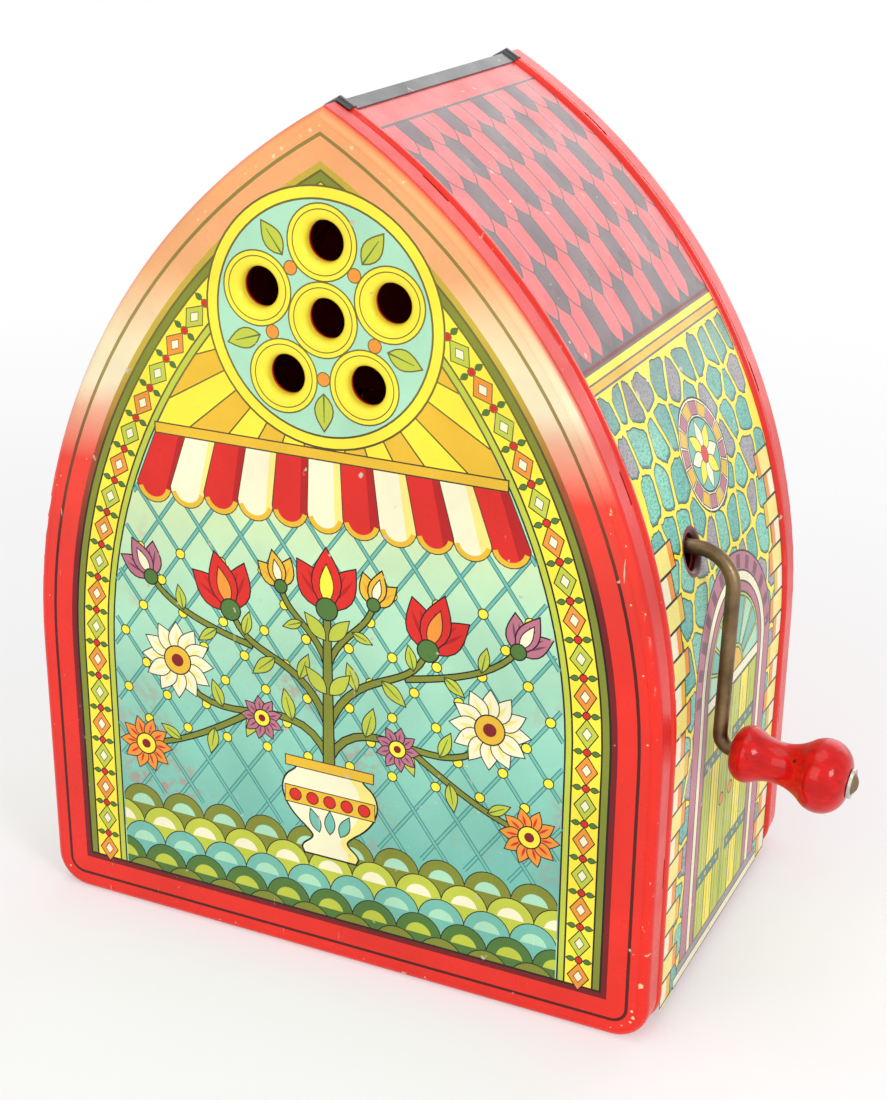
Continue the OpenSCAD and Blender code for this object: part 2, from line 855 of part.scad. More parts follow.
// Pins follow a golden-angle scatter round the drum, one ring of them for each comb tooth
module drum_shell() {
    golden_turn = 137.5;
    step = 360 / pins_per_track;
    root_r = barrel_r - drum_t / 2;
    color(tin) at_drum() {
        difference() {
            bar_x(barrel_r, drum_x0, drum_x1);
            bar_x(barrel_r - drum_t, drum_x0 - 1, drum_x1 + 1);
        }
        for (i = [0:comb_teeth - 1], k = [0:pins_per_track - 1])
            translate([track_x(i), 0, 0]) rotate([i * golden_turn + k * step, 0, 0])
                translate([0, 0, root_r]) cylinder(d = pin_d, h = drum_t / 2 + pin_h);
    }
}

// A disc pressed into the drum's end, with a hub from hub_x0 to hub_x1
module drum_end(disc_x, hub_x0, hub_x1) {
    color(tin) at_drum() difference() {
        union() {
            bar_x(barrel_r - drum_t - press_gap, disc_x, disc_x + drum_end_t);
            bar_x(drum_hub_r, hub_x0, hub_x1);
        }
        bar_x(arbor_r + press_gap, hub_x0 - 1, hub_x1 + 1);
    }
}

module right_drum_end() {
    drum_end(drum_x1 - drum_end_t, drum_x1 - drum_gap, gear_x0);
}

module left_drum_end() {
    drum_end(drum_x0, left_bush_x + end_play, drum_x0 + drum_gap);
}

module drum_arbor() {
    color(steel) at_drum() bar_x(arbor_r, left_out_x - shaft_stick, right_out_x + shaft_stick);
}

front_panel();
back_panel();
right_side_sheet();
left_side_sheet();
ridge_cap();
base_plate();
base_board();
right_bracket();
left_bracket();
bracket_screws();
right_crank_bush();
left_crank_bush();
right_drum_bush();
left_drum_bush();
comb_rail();
rail_screws();
comb();
comb_clamp();
comb_screws();
crank_wire();
crank_pinion();
crank_collar();
collar_screw();
grip_washer();
crank_grip();
drum_shell();
right_drum_end();
left_drum_end();
drum_arbor();
drum_gear();
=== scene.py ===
# %% [markdown]
# # A printed tin music box
# The toy is a small tin building with a pointed roof, a wire crank and a turned grip. Its solids come
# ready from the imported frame, in metres and in their places. What is left to make is what the tin
# printer, the enameller and the painter did. Prints are drawn flat, in millimetres, as a printer would
# draw them, and are laid on the bent sheets afterwards.

# %% Load the frame
import math
import random

import bpy
import numpy as np
from mathutils import Matrix, Vector
from mathutils.geometry import delaunay_2d_cdt


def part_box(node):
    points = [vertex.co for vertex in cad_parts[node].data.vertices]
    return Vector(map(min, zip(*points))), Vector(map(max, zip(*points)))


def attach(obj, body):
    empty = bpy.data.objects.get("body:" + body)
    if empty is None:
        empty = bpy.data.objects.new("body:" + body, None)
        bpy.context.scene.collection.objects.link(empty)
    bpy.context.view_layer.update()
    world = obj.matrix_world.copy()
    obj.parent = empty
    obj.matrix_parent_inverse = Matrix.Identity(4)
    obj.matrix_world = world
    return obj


scene = bpy.context.scene
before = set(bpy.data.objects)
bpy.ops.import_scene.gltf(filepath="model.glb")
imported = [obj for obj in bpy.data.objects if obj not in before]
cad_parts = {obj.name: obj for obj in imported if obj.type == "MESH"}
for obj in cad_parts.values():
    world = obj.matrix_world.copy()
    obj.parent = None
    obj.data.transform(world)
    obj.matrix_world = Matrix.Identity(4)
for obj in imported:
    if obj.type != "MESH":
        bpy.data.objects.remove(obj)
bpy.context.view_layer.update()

# %% [markdown]
# ## The outline of the case
# The front is square below, with two arcs above that lean together at the top. Every printed line follows
# that outline. It could be traced from the panel's mesh, but a formula from the panel's width, height and
# depth gives clean points at any distance from the edge.

# %% Outline of the case
mm = 0.001
panel_low, panel_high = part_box("front_panel")
half_width = panel_high[0] / mm
half_depth = -panel_low[1] / mm
case_height = panel_high[2] / mm
spring = 80.0
rise = case_height - spring
arc_offset = (rise ** 2 - half_width ** 2) / (2 * half_width)
arc_radius = arc_offset + half_width
corner_steps = 6


def at(across, up):
    return Vector((across, up))


def towards(angle):
    """One millimetre in the direction of an angle in degrees."""
    return at(math.cos(math.radians(angle)), math.sin(math.radians(angle)))


def arc(middle, radius, start, stop, count=12):
    """Points on an arc, with angles in degrees."""
    return [middle + radius * towards(start + (stop - start) * step / count) for step in range(count + 1)]


def mirrored(points):
    return [at(-point.x, point.y) for point in points]


def half_width_at(height, inset):
    """Half the width of the outline at a height, with its edge moved in by inset."""
    if height <= spring:
        return half_width - inset
    reach = (arc_radius - inset) ** 2 - (height - spring) ** 2
    return math.sqrt(max(reach, 0.0)) - arc_offset


def arch(inset, low, corner=0.0, steps=26):
    """The pointed outline, moved in by inset, on the line at low, with round or square lower corners."""
    reach = arc_radius - inset
    lean = math.degrees(math.acos(arc_offset / reach))
    foot = at(half_width - inset - corner, low + corner)
    right = arc(foot, corner, -90, 0, corner_steps) if corner else [foot]
    right += arc(at(-arc_offset, spring), reach, 0, lean, steps)
    return right + mirrored(right[-2::-1])


print("half width", half_width, "rise", rise, "arc radius", round(arc_radius, 2))

# %% [markdown]
# ## Camera
# The toy was pictured from a little above and to its right. A camera can be aimed at a point, but this
# one was fitted to the front's outline, so its three directions are built from the yaw, the pitch and the
# slight roll that were found.

# %% Camera
camera_place = Vector((0.2281, -0.4729, 0.3153))
yaw, pitch, roll = (math.radians(angle) for angle in (25.22, 21.91, 0.59))
film_height = 36
focal_length = 63.11

ahead = Vector((-math.sin(yaw) * math.cos(pitch), math.cos(yaw) * math.cos(pitch), -math.sin(pitch)))
level = Vector((math.cos(yaw), math.sin(yaw), 0))
upright = level.cross(ahead)
camera_right = math.cos(roll) * level + math.sin(roll) * upright
camera_up = math.cos(roll) * upright - math.sin(roll) * level

lens = bpy.data.cameras.new("camera")
lens.sensor_fit = "VERTICAL"
lens.sensor_height = film_height
lens.lens = focal_length
camera = bpy.data.objects.new("camera", lens)
camera.matrix_world = Matrix((camera_right, camera_up, -ahead)).transposed().to_4x4()
camera.location = camera_place
scene.collection.objects.link(camera)
scene.camera = camera
print("camera at", [round(value, 3) for value in camera_place])

# %% [markdown]
# ## Lamps
# Soft light comes from wide square lamps, which give soft shadows and broad reflections. One hangs behind
# and above, so that the sloping roof mirrors it and turns pale. The one in front shows the colours as
# they were printed, the one overhead fills, and a smaller one on the right leaves a sharper gleam on the
# wire and the grip.

# %% Lamps
toy_middle = Vector((0, 0, 0.11))
lamps = (
    ("lamp_behind", (0.3, 1.35, 0.62), 1.2, 6.4),
    ("lamp_over", (-0.1, -0.1, 1.4), 0.9, 4.2),
    ("lamp_front", (-0.4, -1.3, 0.8), 1.0, 7.0),
    ("lamp_right", (1.25, -0.75, 0.75), 0.45, 9.0),
)
for lamp_name, lamp_place, lamp_size, lamp_power in lamps:
    lamp = bpy.data.lights.new(lamp_name, "AREA")
    lamp.size = lamp_size
    lamp.energy = lamp_power
    holder = bpy.data.objects.new(lamp_name, lamp)
    holder.location = lamp_place
    holder.rotation_euler = (toy_middle - Vector(lamp_place)).to_track_quat("-Z", "Y").to_euler()
    holder.visible_camera = False
    scene.collection.objects.link(holder)
print(len(lamps), "lamps")

# %% [markdown]
# ## White room
# The room behind the toy is white to the eye and in reflections, yet it must not flood the toy with
# light. The world therefore asks what kind of ray meets it: full strength for what is seen, half for
# light that only arrives. The small helpers that build shader nodes are made here and serve for every
# finish below.


# %% White room
def add_node(tree, kind, sockets=None, settings=None):
    """A shader node. Each socket takes a value, or is joined to another node's output."""
    node = tree.nodes.new("ShaderNode" + kind)
    for name, value in (settings or {}).items():
        setattr(node, name, value)
    for name, value in (sockets or {}).items():
        if isinstance(value, bpy.types.NodeSocket):
            tree.links.new(value, node.inputs[name])
        else:
            node.inputs[name].default_value = value
    return node


def combine(tree, operation, first, second):
    return add_node(tree, "Math", {0: first, 1: second}, {"operation": operation}).outputs[0]


def between(tree, value, low, high, start=0.0, stop=1.0):
    """A value that runs from start to stop while the one handed in runs from low to high."""
    sockets = {"Value": value, "From Min": low, "From Max": high, "To Min": start, "To Max": stop}
    return add_node(tree, "MapRange", sockets).outputs[0]


def looked_at(tree):
    """1 for what the eye, a mirror or a glass sees, and 0 for light that only arrives."""
    rays = add_node(tree, "LightPath").outputs
    direct = combine(tree, "MAXIMUM", rays["Is Camera Ray"], rays["Is Glossy Ray"])
    return combine(tree, "MAXIMUM", direct, rays["Is Transmission Ray"])


room_light = 0.5
room = bpy.data.worlds.new("white_room")
scene.world = room
room.use_nodes = True
room_tree = room.node_tree
background = room_tree.nodes["Background"]
background.inputs["Color"].default_value = (1, 1, 1, 1)
room_strength = between(room_tree, looked_at(room_tree), 0.0, 1.0, room_light, 1.0)
room_tree.links.new(room_strength, background.inputs["Strength"])
scene.view_settings.view_transform = "Standard"
print("room light", room_light)

# %% [markdown]
# ## Table cloth
# The toy stands on a white cloth that runs on to the horizon. A lit cloth alone would be grey far away,
# so it turns to plain white with its distance from the toy. Near the toy most of it stays a lit surface,
# which keeps the shadow.


# %% Table cloth
def tone(red, green, blue):
    """A colour as it is seen on a screen, 0 to 255, in the linear numbers that a shader mixes."""
    shares = [value / 255 for value in (red, green, blue)]
    linear = [share / 12.92 if share <= 0.04045 else ((share + 0.055) / 1.055) ** 2.4 for share in shares]
    return (*linear, 1.0)


def new_finish(name, coat=0.0, metallic=0.0, specular=0.5, roughness=0.3):
    """A material with its plain numbers set on the shader itself."""
    finish = bpy.data.materials.new(name)
    finish.use_nodes = True
    values = {"Roughness": roughness, "Metallic": metallic, "Specular IOR Level": specular,
              "Coat Weight": coat, "Coat Roughness": 0.12}
    for socket, value in values.items():
        finish.node_tree.nodes["Principled BSDF"].inputs[socket].default_value = value
    return finish


def place_of(tree):
    return add_node(tree, "TexCoord").outputs["Object"]


def new_piece(name, points, faces):
    """A mesh in the scene, from its points in metres."""
    mesh = bpy.data.meshes.new(name)
    mesh.from_pydata(points, [], faces)
    piece = bpy.data.objects.new(name, mesh)
    scene.collection.objects.link(piece)
    return piece


cloth_edge = 2.0
near_toy, far_from_toy = 0.2, 0.7
white_near_toy = 0.35
cloth_corners = [(-cloth_edge, -cloth_edge, 0), (cloth_edge, -cloth_edge, 0),
                 (cloth_edge, cloth_edge, 0), (-cloth_edge, cloth_edge, 0)]
cloth = new_piece("table_cloth", cloth_corners, [(0, 1, 2, 3)])
cloth_finish = new_finish("white_cloth", specular=0.1, roughness=0.95)
cloth_tree = cloth_finish.node_tree
cloth_shader = cloth_tree.nodes["Principled BSDF"]
cloth_shader.inputs["Base Color"].default_value = tone(246, 246, 247)
distance = add_node(cloth_tree, "VectorMath", {0: place_of(cloth_tree)}, {"operation": "LENGTH"})
whiteness = between(cloth_tree, distance.outputs["Value"], near_toy, far_from_toy, white_near_toy, 1.0)
whiteness = combine(cloth_tree, "MULTIPLY", whiteness, looked_at(cloth_tree))
white_sockets = {"Color": tone(255, 255, 255), "Strength": 1.0}
plain_white = add_node(cloth_tree, "Emission", white_sockets)
cloth_sockets = {0: whiteness, 1: cloth_shader.outputs[0], 2: plain_white.outputs[0]}
cloth_mix = add_node(cloth_tree, "MixShader", cloth_sockets)
cloth_tree.links.new(cloth_mix.outputs[0], cloth_tree.nodes["Material Output"].inputs["Surface"])
cloth.data.materials.append(cloth_finish)
print("cloth", 2 * cloth_edge, "m wide")

# %% [markdown]
# ## Printing inks
# Tin is printed flat, one ink after another on a white ground, and then varnished. An image could hold
# the whole print, but it would blur close up. Here each ink is one material: a colour that clouds a
# little, flecks and scratches down to the bare tin, and a sheet that isn't quite flat. The print itself
# is drawn as shapes. Roof inks have more varnish.


# %% Ink helpers
def join(finish, output, socket):
    """Let a node's output set one of the finish's sockets."""
    tree = finish.node_tree
    tree.links.new(output, tree.nodes["Principled BSDF"].inputs[socket])


def noise(tree, scale, detail=3.0, stretch=None):
    """Cloudy values from 0 to 1. A stretch draws the clouds out into streaks."""
    where = place_of(tree)
    if stretch:
        where = add_node(tree, "Mapping", {"Vector": where, "Scale": stretch}).outputs[0]
    sockets = {"Vector": where, "Scale": scale, "Detail": detail}
    return add_node(tree, "TexNoise", sockets).outputs["Fac"]


def blend(tree, share, first, second):
    """A colour between two others, each a tone or the output of another node."""
    node = add_node(tree, "Mix", {0: share, 6: first, 7: second}, {"data_type": "RGBA"})
    return node.outputs[2]


def bump(finish, height, strength, depth):
    sockets = {"Height": height, "Strength": strength, "Distance": depth}
    join(finish, add_node(finish.node_tree, "Bump", sockets).outputs[0], "Normal")


tin_tone = tone(196, 186, 160)
soot_tone = (0.0, 0.0, 0.0, 1.0)
cloud_depth = 0.14
fleck_edge = 0.03


def print_on_tin(finish, colour, hold):
    """Clouded ink with flecks and scratches of bare tin. A higher hold leaves more of the ink."""
    tree = finish.node_tree
    clouded = blend(tree, between(tree, noise(tree, 45), 0.35, 0.7, 0.0, cloud_depth), colour, soot_tone)
    flecks = between(tree, noise(tree, 260, 6), hold, hold + fleck_edge)
    scratches = between(tree, noise(tree, 1.0, 5, (900, 90, 60)), 0.735, 0.76)
    bare = combine(tree, "MAXIMUM", flecks, scratches)
    join(finish, blend(tree, bare, clouded, tin_tone), "Base Color")
    join(finish, between(tree, noise(tree, 90), 0.3, 0.7, 0.22, 0.38), "Roughness")
    bump(finish, noise(tree, 60, 2), 0.12, 0.0006)


def printed(name, colour, coat=0.0, specular=0.25, hold=0.70):
    """A finish of ink or enamel. Its colour is a tone, or a function that builds one from shader nodes."""
    finish = new_finish(name, coat, specular=specular)
    print_on_tin(finish, colour(finish.node_tree) if callable(colour) else colour, hold)
    return finish


print("ink clouds by", cloud_depth)

# %% Flat inks
flat_inks = {
    "black": tone(30, 25, 24),
    "brown": tone(62, 44, 24),
    "yellow": tone(255, 236, 66),
    "gold": tone(238, 190, 52),
    "lime": tone(196, 206, 70),
    "olive": tone(132, 140, 48),
    "green": tone(82, 122, 56),
    "mint": tone(176, 226, 192),
    "teal": tone(118, 190, 172),
    "deep_teal": tone(66, 134, 128),
    "cream": tone(250, 244, 206),
    "straw": tone(250, 234, 134),
    "orange": tone(244, 152, 56),
    "red": tone(222, 42, 34),
    "deep_red": tone(186, 28, 28),
    "maroon": tone(132, 28, 32),
    "mauve": tone(190, 116, 134),
    "plum": tone(122, 70, 92),
    "grey": tone(158, 150, 158),
    # painted shade for the inside of the crank hole's lip
    "painted_hole_shade": tone(70, 26, 24),
}
roof_inks = {
    "shingle_red": tone(228, 70, 74),
    "shingle_dark": tone(86, 52, 60),
    "roof_line": tone(44, 34, 36),
    "roof_red": tone(226, 60, 58),
}
inks = {}
for ink_tones, ink_coat, ink_specular in ((flat_inks, 0.0, 0.25), (roof_inks, 0.2, 0.45)):
    for ink_name, ink_tone in ink_tones.items():
        inks[ink_name] = printed("ink_" + ink_name, ink_tone, ink_coat, ink_specular)
print(len(inks), "flat inks")

# %% [markdown]
# ## Inks that change with height
# The border of the front was sprayed red at the foot and orange at the peak. Beside the disc of holes a
# pale band of painted highlight lies over it, a little higher on the right. The thin lines lighten in it,
# and are otherwise nearly black below and olive above. Vertex colours could do this on a fine mesh, but a
# colour ramp along the height needs no mesh at all. On the folded rim behind the face the border stays red
# all the way up.


# %% Inks that change with height
def along(tree, axis):
    return add_node(tree, "SeparateXYZ", {0: place_of(tree)}).outputs[axis]


# The ramps lean so that the painted highlight on the border stands a little higher on the right.
ramp_lean = 0.075
rim_back = 2.0
rim_front = 0.6
face_back = 0.3


def up_the_front(tree, stops):
    """A colour that changes with height, a little askew. A stop is a height in mm and its colour."""
    askew = combine(tree, "MULTIPLY", along(tree, "X"), ramp_lean)
    height = combine(tree, "SUBTRACT", along(tree, "Z"), askew)
    share = between(tree, height, 0.0, case_height * mm)
    ramp = add_node(tree, "ValToRGB", {"Fac": share})
    while len(ramp.color_ramp.elements) < len(stops):
        ramp.color_ramp.elements.new(0.5)
    for element, (stop_height, colour) in zip(ramp.color_ramp.elements, stops):
        element.position = stop_height / case_height
        element.color = colour
    return ramp.outputs["Color"]


def rubbed_through(tree, base):
    """Grainy patches where the top ink has gone and the red one below it shows."""
    patch = between(tree, noise(tree, 24, 3), 0.58, 0.72)
    grain = between(tree, noise(tree, 420, 5), 0.44, 0.58, 0.0, 0.75)
    return blend(tree, combine(tree, "MULTIPLY", patch, grain), base, tone(204, 82, 66))


enamel_red = tone(226, 38, 30)
# Red at the foot and orange at the peak are print. The pale stops from 160 to 178 mm are a painted highlight.
border_and_highlight_stops = (
    (100, tone(236, 40, 24)),
    (145, tone(238, 62, 45)),
    (160, tone(240, 175, 142)),
    (168, tone(250, 236, 196)),
    (178, tone(250, 234, 188)),
    (200, tone(242, 174, 116)),
    (241, tone(246, 166, 104)),
)
# The thin lines are palest at 173 mm, where the painted highlight lies. Nearly black below and olive above is
# print.
line_heights = (118, 150, 173, 205)
line_tones_with_highlight = {
    "front_line": (tone(30, 25, 24), tone(70, 60, 34), tone(120, 110, 52), tone(112, 102, 46)),
    "edge_line": (tone(84, 24, 22), tone(128, 72, 42), tone(172, 150, 84), tone(146, 126, 60)),
    "arch_line": (tone(120, 26, 28), tone(160, 84, 44), tone(206, 178, 64), tone(200, 172, 60)),
}
sky_stops = (
    (30, tone(112, 186, 172)),
    (75, tone(150, 212, 188)),
    (112, tone(186, 230, 192)),
    (140, tone(222, 238, 178)),
)


def border_colour_with_highlight(tree):
    """The sprayed colour on the face with its painted highlight band, and plain red on the rim behind it."""
    face = between(tree, along(tree, "Y"), -(half_depth - rim_back) * mm, -(half_depth - face_back) * mm)
    return blend(tree, face, enamel_red, up_the_front(tree, border_and_highlight_stops))


def sky_colour(tree):
    return rubbed_through(tree, up_the_front(tree, sky_stops))


# The border's ink carries the painted highlight band.
inks["border"] = printed("ink_border_with_highlight", border_colour_with_highlight, 0.15, 0.3, 0.72)
inks["garden_sky"] = printed("ink_garden_sky", sky_colour)
for ink_name, tones in line_tones_with_highlight.items():
    line_stops = list(zip(line_heights, tones))
    inks[ink_name] = printed("ink_" + ink_name, lambda tree: up_the_front(tree, line_stops))
print("border, sky and", len(line_tones_with_highlight), "lines change with height")

# %% [markdown]
# ## Enamel
# The rims, beads and ridge strip are enamelled rather than printed. Enamel is built like an ink with a
# clear coat, and on the folded edges hands and shelves have rubbed it down to the tin.


# %% Enamel
def worn_rim(tree, base):
    """Bare tin along the folded edge, from just behind the face to its front."""
    depth = combine(tree, "ABSOLUTE", along(tree, "Y"), 0.0)
    rim = between(tree, depth, (half_depth - rim_back) * mm, (half_depth - rim_front) * mm)
    rubbed = between(tree, noise(tree, 300, 6), 0.68, 0.71)
    return blend(tree, combine(tree, "MULTIPLY", rim, rubbed), base, tone(226, 206, 158))


# Under the print, the front's face has the same painted highlight band.
front_enamel = printed("front_enamel", lambda tree: worn_rim(tree, border_colour_with_highlight(tree)), 0.1, hold=0.72)
red_enamel = printed("red_enamel", lambda tree: worn_rim(tree, enamel_red), 0.12, 0.3, 0.71)
side_enamel = printed("side_enamel", tone(228, 44, 30), 0.1, hold=0.71)
black_enamel = printed("black_enamel", tone(26, 23, 24), 0.2, 0.5)
inks["back_red"] = printed("ink_back_red", enamel_red, 0.3, 0.5, 0.72)
inks["bare"] = new_finish("bare_tin_patch", metallic=0.35)
print_on_tin(inks["bare"], tone(232, 214, 164), 0.8)
print("enamels for the front, back, sides and ridge")

# %% [markdown]
# ## From drawing to print
# A drawing is a list of flat shapes, each with an ink, the later over the earlier. Stacked sheets of ink
# would fight for the same place, so a constrained triangulation cuts all outlines into one flat mosaic.
# Each tile takes the ink of the last shape that covers its middle. Only then is the mosaic laid on the
# tin, a hair above it.


# %% Drawing
def area(points):
    return sum(a.x * b.y - b.x * a.y for a, b in zip(points, points[1:] + points[:1])) / 2


sharpest_corner = 0.45


def offset(points, distance):
    """The outline moved outward, or inward where distance is below zero. Sharp corners move only so far."""
    if area(points) < 0:
        points = points[::-1]
    moved = []
    for before, here, after in zip(points[-1:] + points[:-1], points, points[1:] + points[:1]):
        first = (here - before).normalized()
        second = (after - here).normalized()
        normal = at(first.y, -first.x)
        middle = normal + at(second.y, -second.x)
        if middle.length < 1e-6:
            middle = normal
        middle.normalize()
        moved.append(here + middle * distance / max(middle.dot(normal), sharpest_corner))
    return moved


class Drawing:
    """Shapes in the order they are printed."""

    def __init__(self, line_ink="black"):
        self.shapes = []
        self.line_ink = line_ink

    def fill(self, points, ink):
        self.shapes.append((points if area(points) > 0 else points[::-1], ink))

    def inked(self, points, ink, line):
        """A shape with an outline of the given width round it."""
        self.fill(offset(points, line), self.line_ink)
        self.fill(points, ink)

    def pair(self, points, ink, line=0.0, both=True):
        """A shape and, where both are wanted, its mirror image, with outlines if a width is given."""
        for shape in (points, mirrored(points)) if both else (points,):
            if line:
                self.inked(shape, ink, line)
            else:
                self.fill(shape, ink)


print("a drawing is a list of shapes and inks")

# %% Mosaic
lift = 0.06
merge_distance = 1e-4
least_tile = 1e-6


def covered(points, spots):
    """Which of many spots an outline covers, counting how often a line from each spot crosses it."""
    outline = np.array(points)
    near = np.flatnonzero(((spots >= outline.min(0)) & (spots <= outline.max(0))).all(1))
    across, up = spots[near].T
    inside = np.zeros(len(near), bool)
    for here, after in zip(outline, np.roll(outline, -1, 0)):
        if here[1] != after[1]:
            crossing = here[0] + (after[0] - here[0]) * (up - here[1]) / (after[1] - here[1])
            inside ^= ((here[1] > up) != (after[1] > up)) & (across < crossing)
    return near[inside]


def mosaic(drawing, cuts):
    """The points of all tiles, the tiles that carry ink, and the ink of each."""
    corners, faces, edges = [], [], []
    for points, _ in drawing.shapes:
        faces.append(list(range(len(corners), len(corners) + len(points))))
        corners += points
    for start, stop in cuts:
        edges.append((len(corners), len(corners) + 1))
        corners += [start, stop]
    flat, _, tiles, _, _, _ = delaunay_2d_cdt(corners, edges, faces, 0, merge_distance)
    middles = np.array([sum((flat[corner] for corner in tile), at(0, 0)) / len(tile) for tile in tiles])
    tile_inks = [None] * len(tiles)
    for points, ink in drawing.shapes:
        for tile_index in covered(points, middles):
            tile_inks[tile_index] = ink
    whole = [area([flat[corner] for corner in tile]) >= least_tile for tile in tiles]
    kept = [index for index, ink in enumerate(tile_inks) if ink and whole[index]]
    return flat, [tiles[index] for index in kept], [tile_inks[index] for index in kept]


def lay_on_case(piece):
    """Smooth the piece and let it move with the case."""
    piece.data.polygons.foreach_set("use_smooth", [True] * len(piece.data.polygons))
    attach(piece, "case")


def print_sheet(name, drawing, place, cuts=()):
    """The drawing as one mesh, laid where place puts each point. Shapes with no ink are left open."""
    flat, tiles, tile_inks = mosaic(drawing, cuts)
    piece = new_piece(name, [[value * mm for value in place(point)] for point in flat], tiles)
    used = list(dict.fromkeys(tile_inks))
    for ink in used:
        piece.data.materials.append(inks[ink])
    piece.data.polygons.foreach_set("material_index", [used.index(ink) for ink in tile_inks])
    lay_on_case(piece)
    print(name, len(drawing.shapes), "shapes,", len(tiles), "tiles,", len(used), "inks")


print("prints lie", lift, "mm above the tin")


# %% Shapes that recur
def disc(middle, radius, count=40):
    return arc(middle, radius, 0, 360, count)[:-1]


def box(left, low, right, high):
    return [at(left, low), at(right, low), at(right, high), at(left, high)]


def bar(middle, half, low, high):
    """A box that reaches the same way to both sides of its middle."""
    return box(middle - half, low, middle + half, high)


def leaf(root, angle, length, width, count=7):
    """A pointed leaf that grows from its root and is widest a little below its middle."""
    ahead_way, side_way = towards(angle), towards(angle + 90)
    shares = [step / count for step in range(count + 1)]
    spine = [(root + ahead_way * length * share, math.sin(math.pi * share ** 0.85)) for share in shares]
    one = [point - side_way * width / 2 * bulge for point, bulge in spine]
    other = [point + side_way * width / 2 * bulge for point, bulge in spine]
    return one + other[-2:0:-1]


def curve(start, first, second, stop, count=14):
    """Points on a smooth stem, pulled towards two handles."""
    points = []
    for step in range(count + 1):
        done = step / count
        left = 1 - done
        early = start * left ** 3 + 3 * first * left ** 2 * done
        points.append(early + 3 * second * left * done ** 2 + stop * done ** 3)
    return points


def ribbon(path, width, tip=None):
    """A band of the given width along a path, tapering to a tip if one is given."""
    one, other = [], []
    end_width = width if tip is None else tip
    for step, point in enumerate(path):
        way = path[min(step + 1, len(path) - 1)] - path[max(step - 1, 0)]
        side_way = at(-way.y, way.x).normalized()
        half = (width + (end_width - width) * step / (len(path) - 1)) / 2
        one.append(point - side_way * half)
        other.append(point + side_way * half)
    return one + other[::-1]


def cut_by(points, through, normal):
    """The part of a convex shape on the near side of a line."""
    kept = []
    for here, after in zip(points, points[1:] + points[:1]):
        depth, next_depth = (here - through).dot(normal), (after - through).dot(normal)
        if depth <= 0:
            kept.append(here)
        if depth * next_depth < 0:
            kept.append(here.lerp(after, depth / (depth - next_depth)))
    return kept


def above(points, height):
    return cut_by(points, at(0, height), at(0, -1))


def within(points, half):
    """The part of a convex shape that is no further than half from the middle line."""
    return cut_by(cut_by(points, at(half, 0), at(1, 0)), at(-half, 0), at(-1, 0))


print("discs, boxes, leaves, ribbons and curves")

# %% [markdown]
# ## Border and arch of the front
# The first inks down are the border's enamel, a thin line that follows the edge, and an arch of olive,
# yellow and lime bands. A band could be drawn as a ring, but nested outlines, each over the last, need no
# inner edge.

# %% Border and arch
hair_line = 0.2
fine_line = 0.3
thin_line = 0.4
bold_line = 0.55
vein_width = 0.5

panel_corner = 10.0
face_inset = 2.7
edge_line_inset = 5.2
edge_line_width = 0.9


def bordered(drawing, enamel, line):
    """The enamelled face with its thin line, for the front and the back."""
    inner = edge_line_inset + edge_line_width
    for inset, ink in ((face_inset, enamel), (edge_line_inset, line), (inner, enamel)):
        drawing.fill(arch(inset, inset, panel_corner - inset), ink)


front = Drawing("front_line")
bordered(front, "border", "edge_line")
arch_inset = 13.0
arch_shadow = 1.6
arch_outline = 0.6
for inset, ink in ((arch_inset - arch_shadow, "arch_line"), (arch_inset, "front_line")):
    front.fill(arch(inset, inset), ink)
picture_low = arch_inset + arch_outline
picture_inset = arch_inset + arch_outline
band_line = ("front_line", 0.5)
bands = (("olive", 1.8), band_line, ("yellow", 7.6), band_line, ("lime", 1.5), band_line)
for band_ink, band_width in bands:
    front.fill(arch(picture_inset, picture_low), band_ink)
    if band_ink == "yellow":
        band_middle = picture_inset + band_width / 2
    picture_inset += band_width
front.fill(arch(picture_inset, picture_low), "mint")
print("picture starts", round(picture_inset, 1), "mm inside the edge")


# %% Lozenges along the arch
def stations(path, spacing):
    """Places at even steps along a path, each with the direction of the path there in degrees."""
    places, left_over = [], spacing / 2
    for here, after in zip(path, path[1:]):
        way = after - here
        angle = math.degrees(math.atan2(way.y, way.x))
        while left_over <= way.length:
            places.append((here + way * left_over / way.length, angle))
            left_over += spacing
        left_over -= way.length
    return places


lozenge_spacing = 5.2
lozenge_long, lozenge_wide = 4.0, 2.9
lozenge_heart = 0.42
bead_radius = 0.9
sprig_root, sprig_length, sprig_width = 1.3, 2.3, 1.5
lozenge_turns = ((0, lozenge_long), (90, lozenge_wide), (180, lozenge_long), (270, lozenge_wide))
right_half = [point for point in arch(band_middle, picture_low, 0.0, 60) if point.x > 0]
arch_spots = stations(right_half, lozenge_spacing)
for index, (spot, angle) in enumerate(arch_spots):
    if index % 2:
        front.pair(disc(spot, bead_radius, 12), "red", fine_line)
        for side_angle in (angle + 90, angle - 90):
            sprig = leaf(spot + towards(side_angle) * sprig_root, side_angle, sprig_length, sprig_width, 4)
            front.pair(sprig, "green", hair_line)
    else:
        lozenge = [spot + towards(angle + turn) * size for turn, size in lozenge_turns]
        front.pair(lozenge, "lime" if index % 4 else "orange", fine_line)
        front.pair([spot.lerp(corner, lozenge_heart) for corner in lozenge], "cream", hair_line)
print(len(arch_spots), "lozenges and beads on each side")

# %% [markdown]
# ## Sun rays and the disc of holes
# The six drawn holes sit in a round mint field with a yellow rim. Rays fan out from it to the arch. Where
# a ray meets the arch could be solved with a formula, but halving the distance again and again until it
# fits is shorter and works for any outline.

# %% Rays
rose_middle = at(0, 188)
awning_high = 151.0
ray_count = 36
ray_start = 30.0
ray_angle = 360 / ray_count
halvings = 30
beyond_arch = 150.0


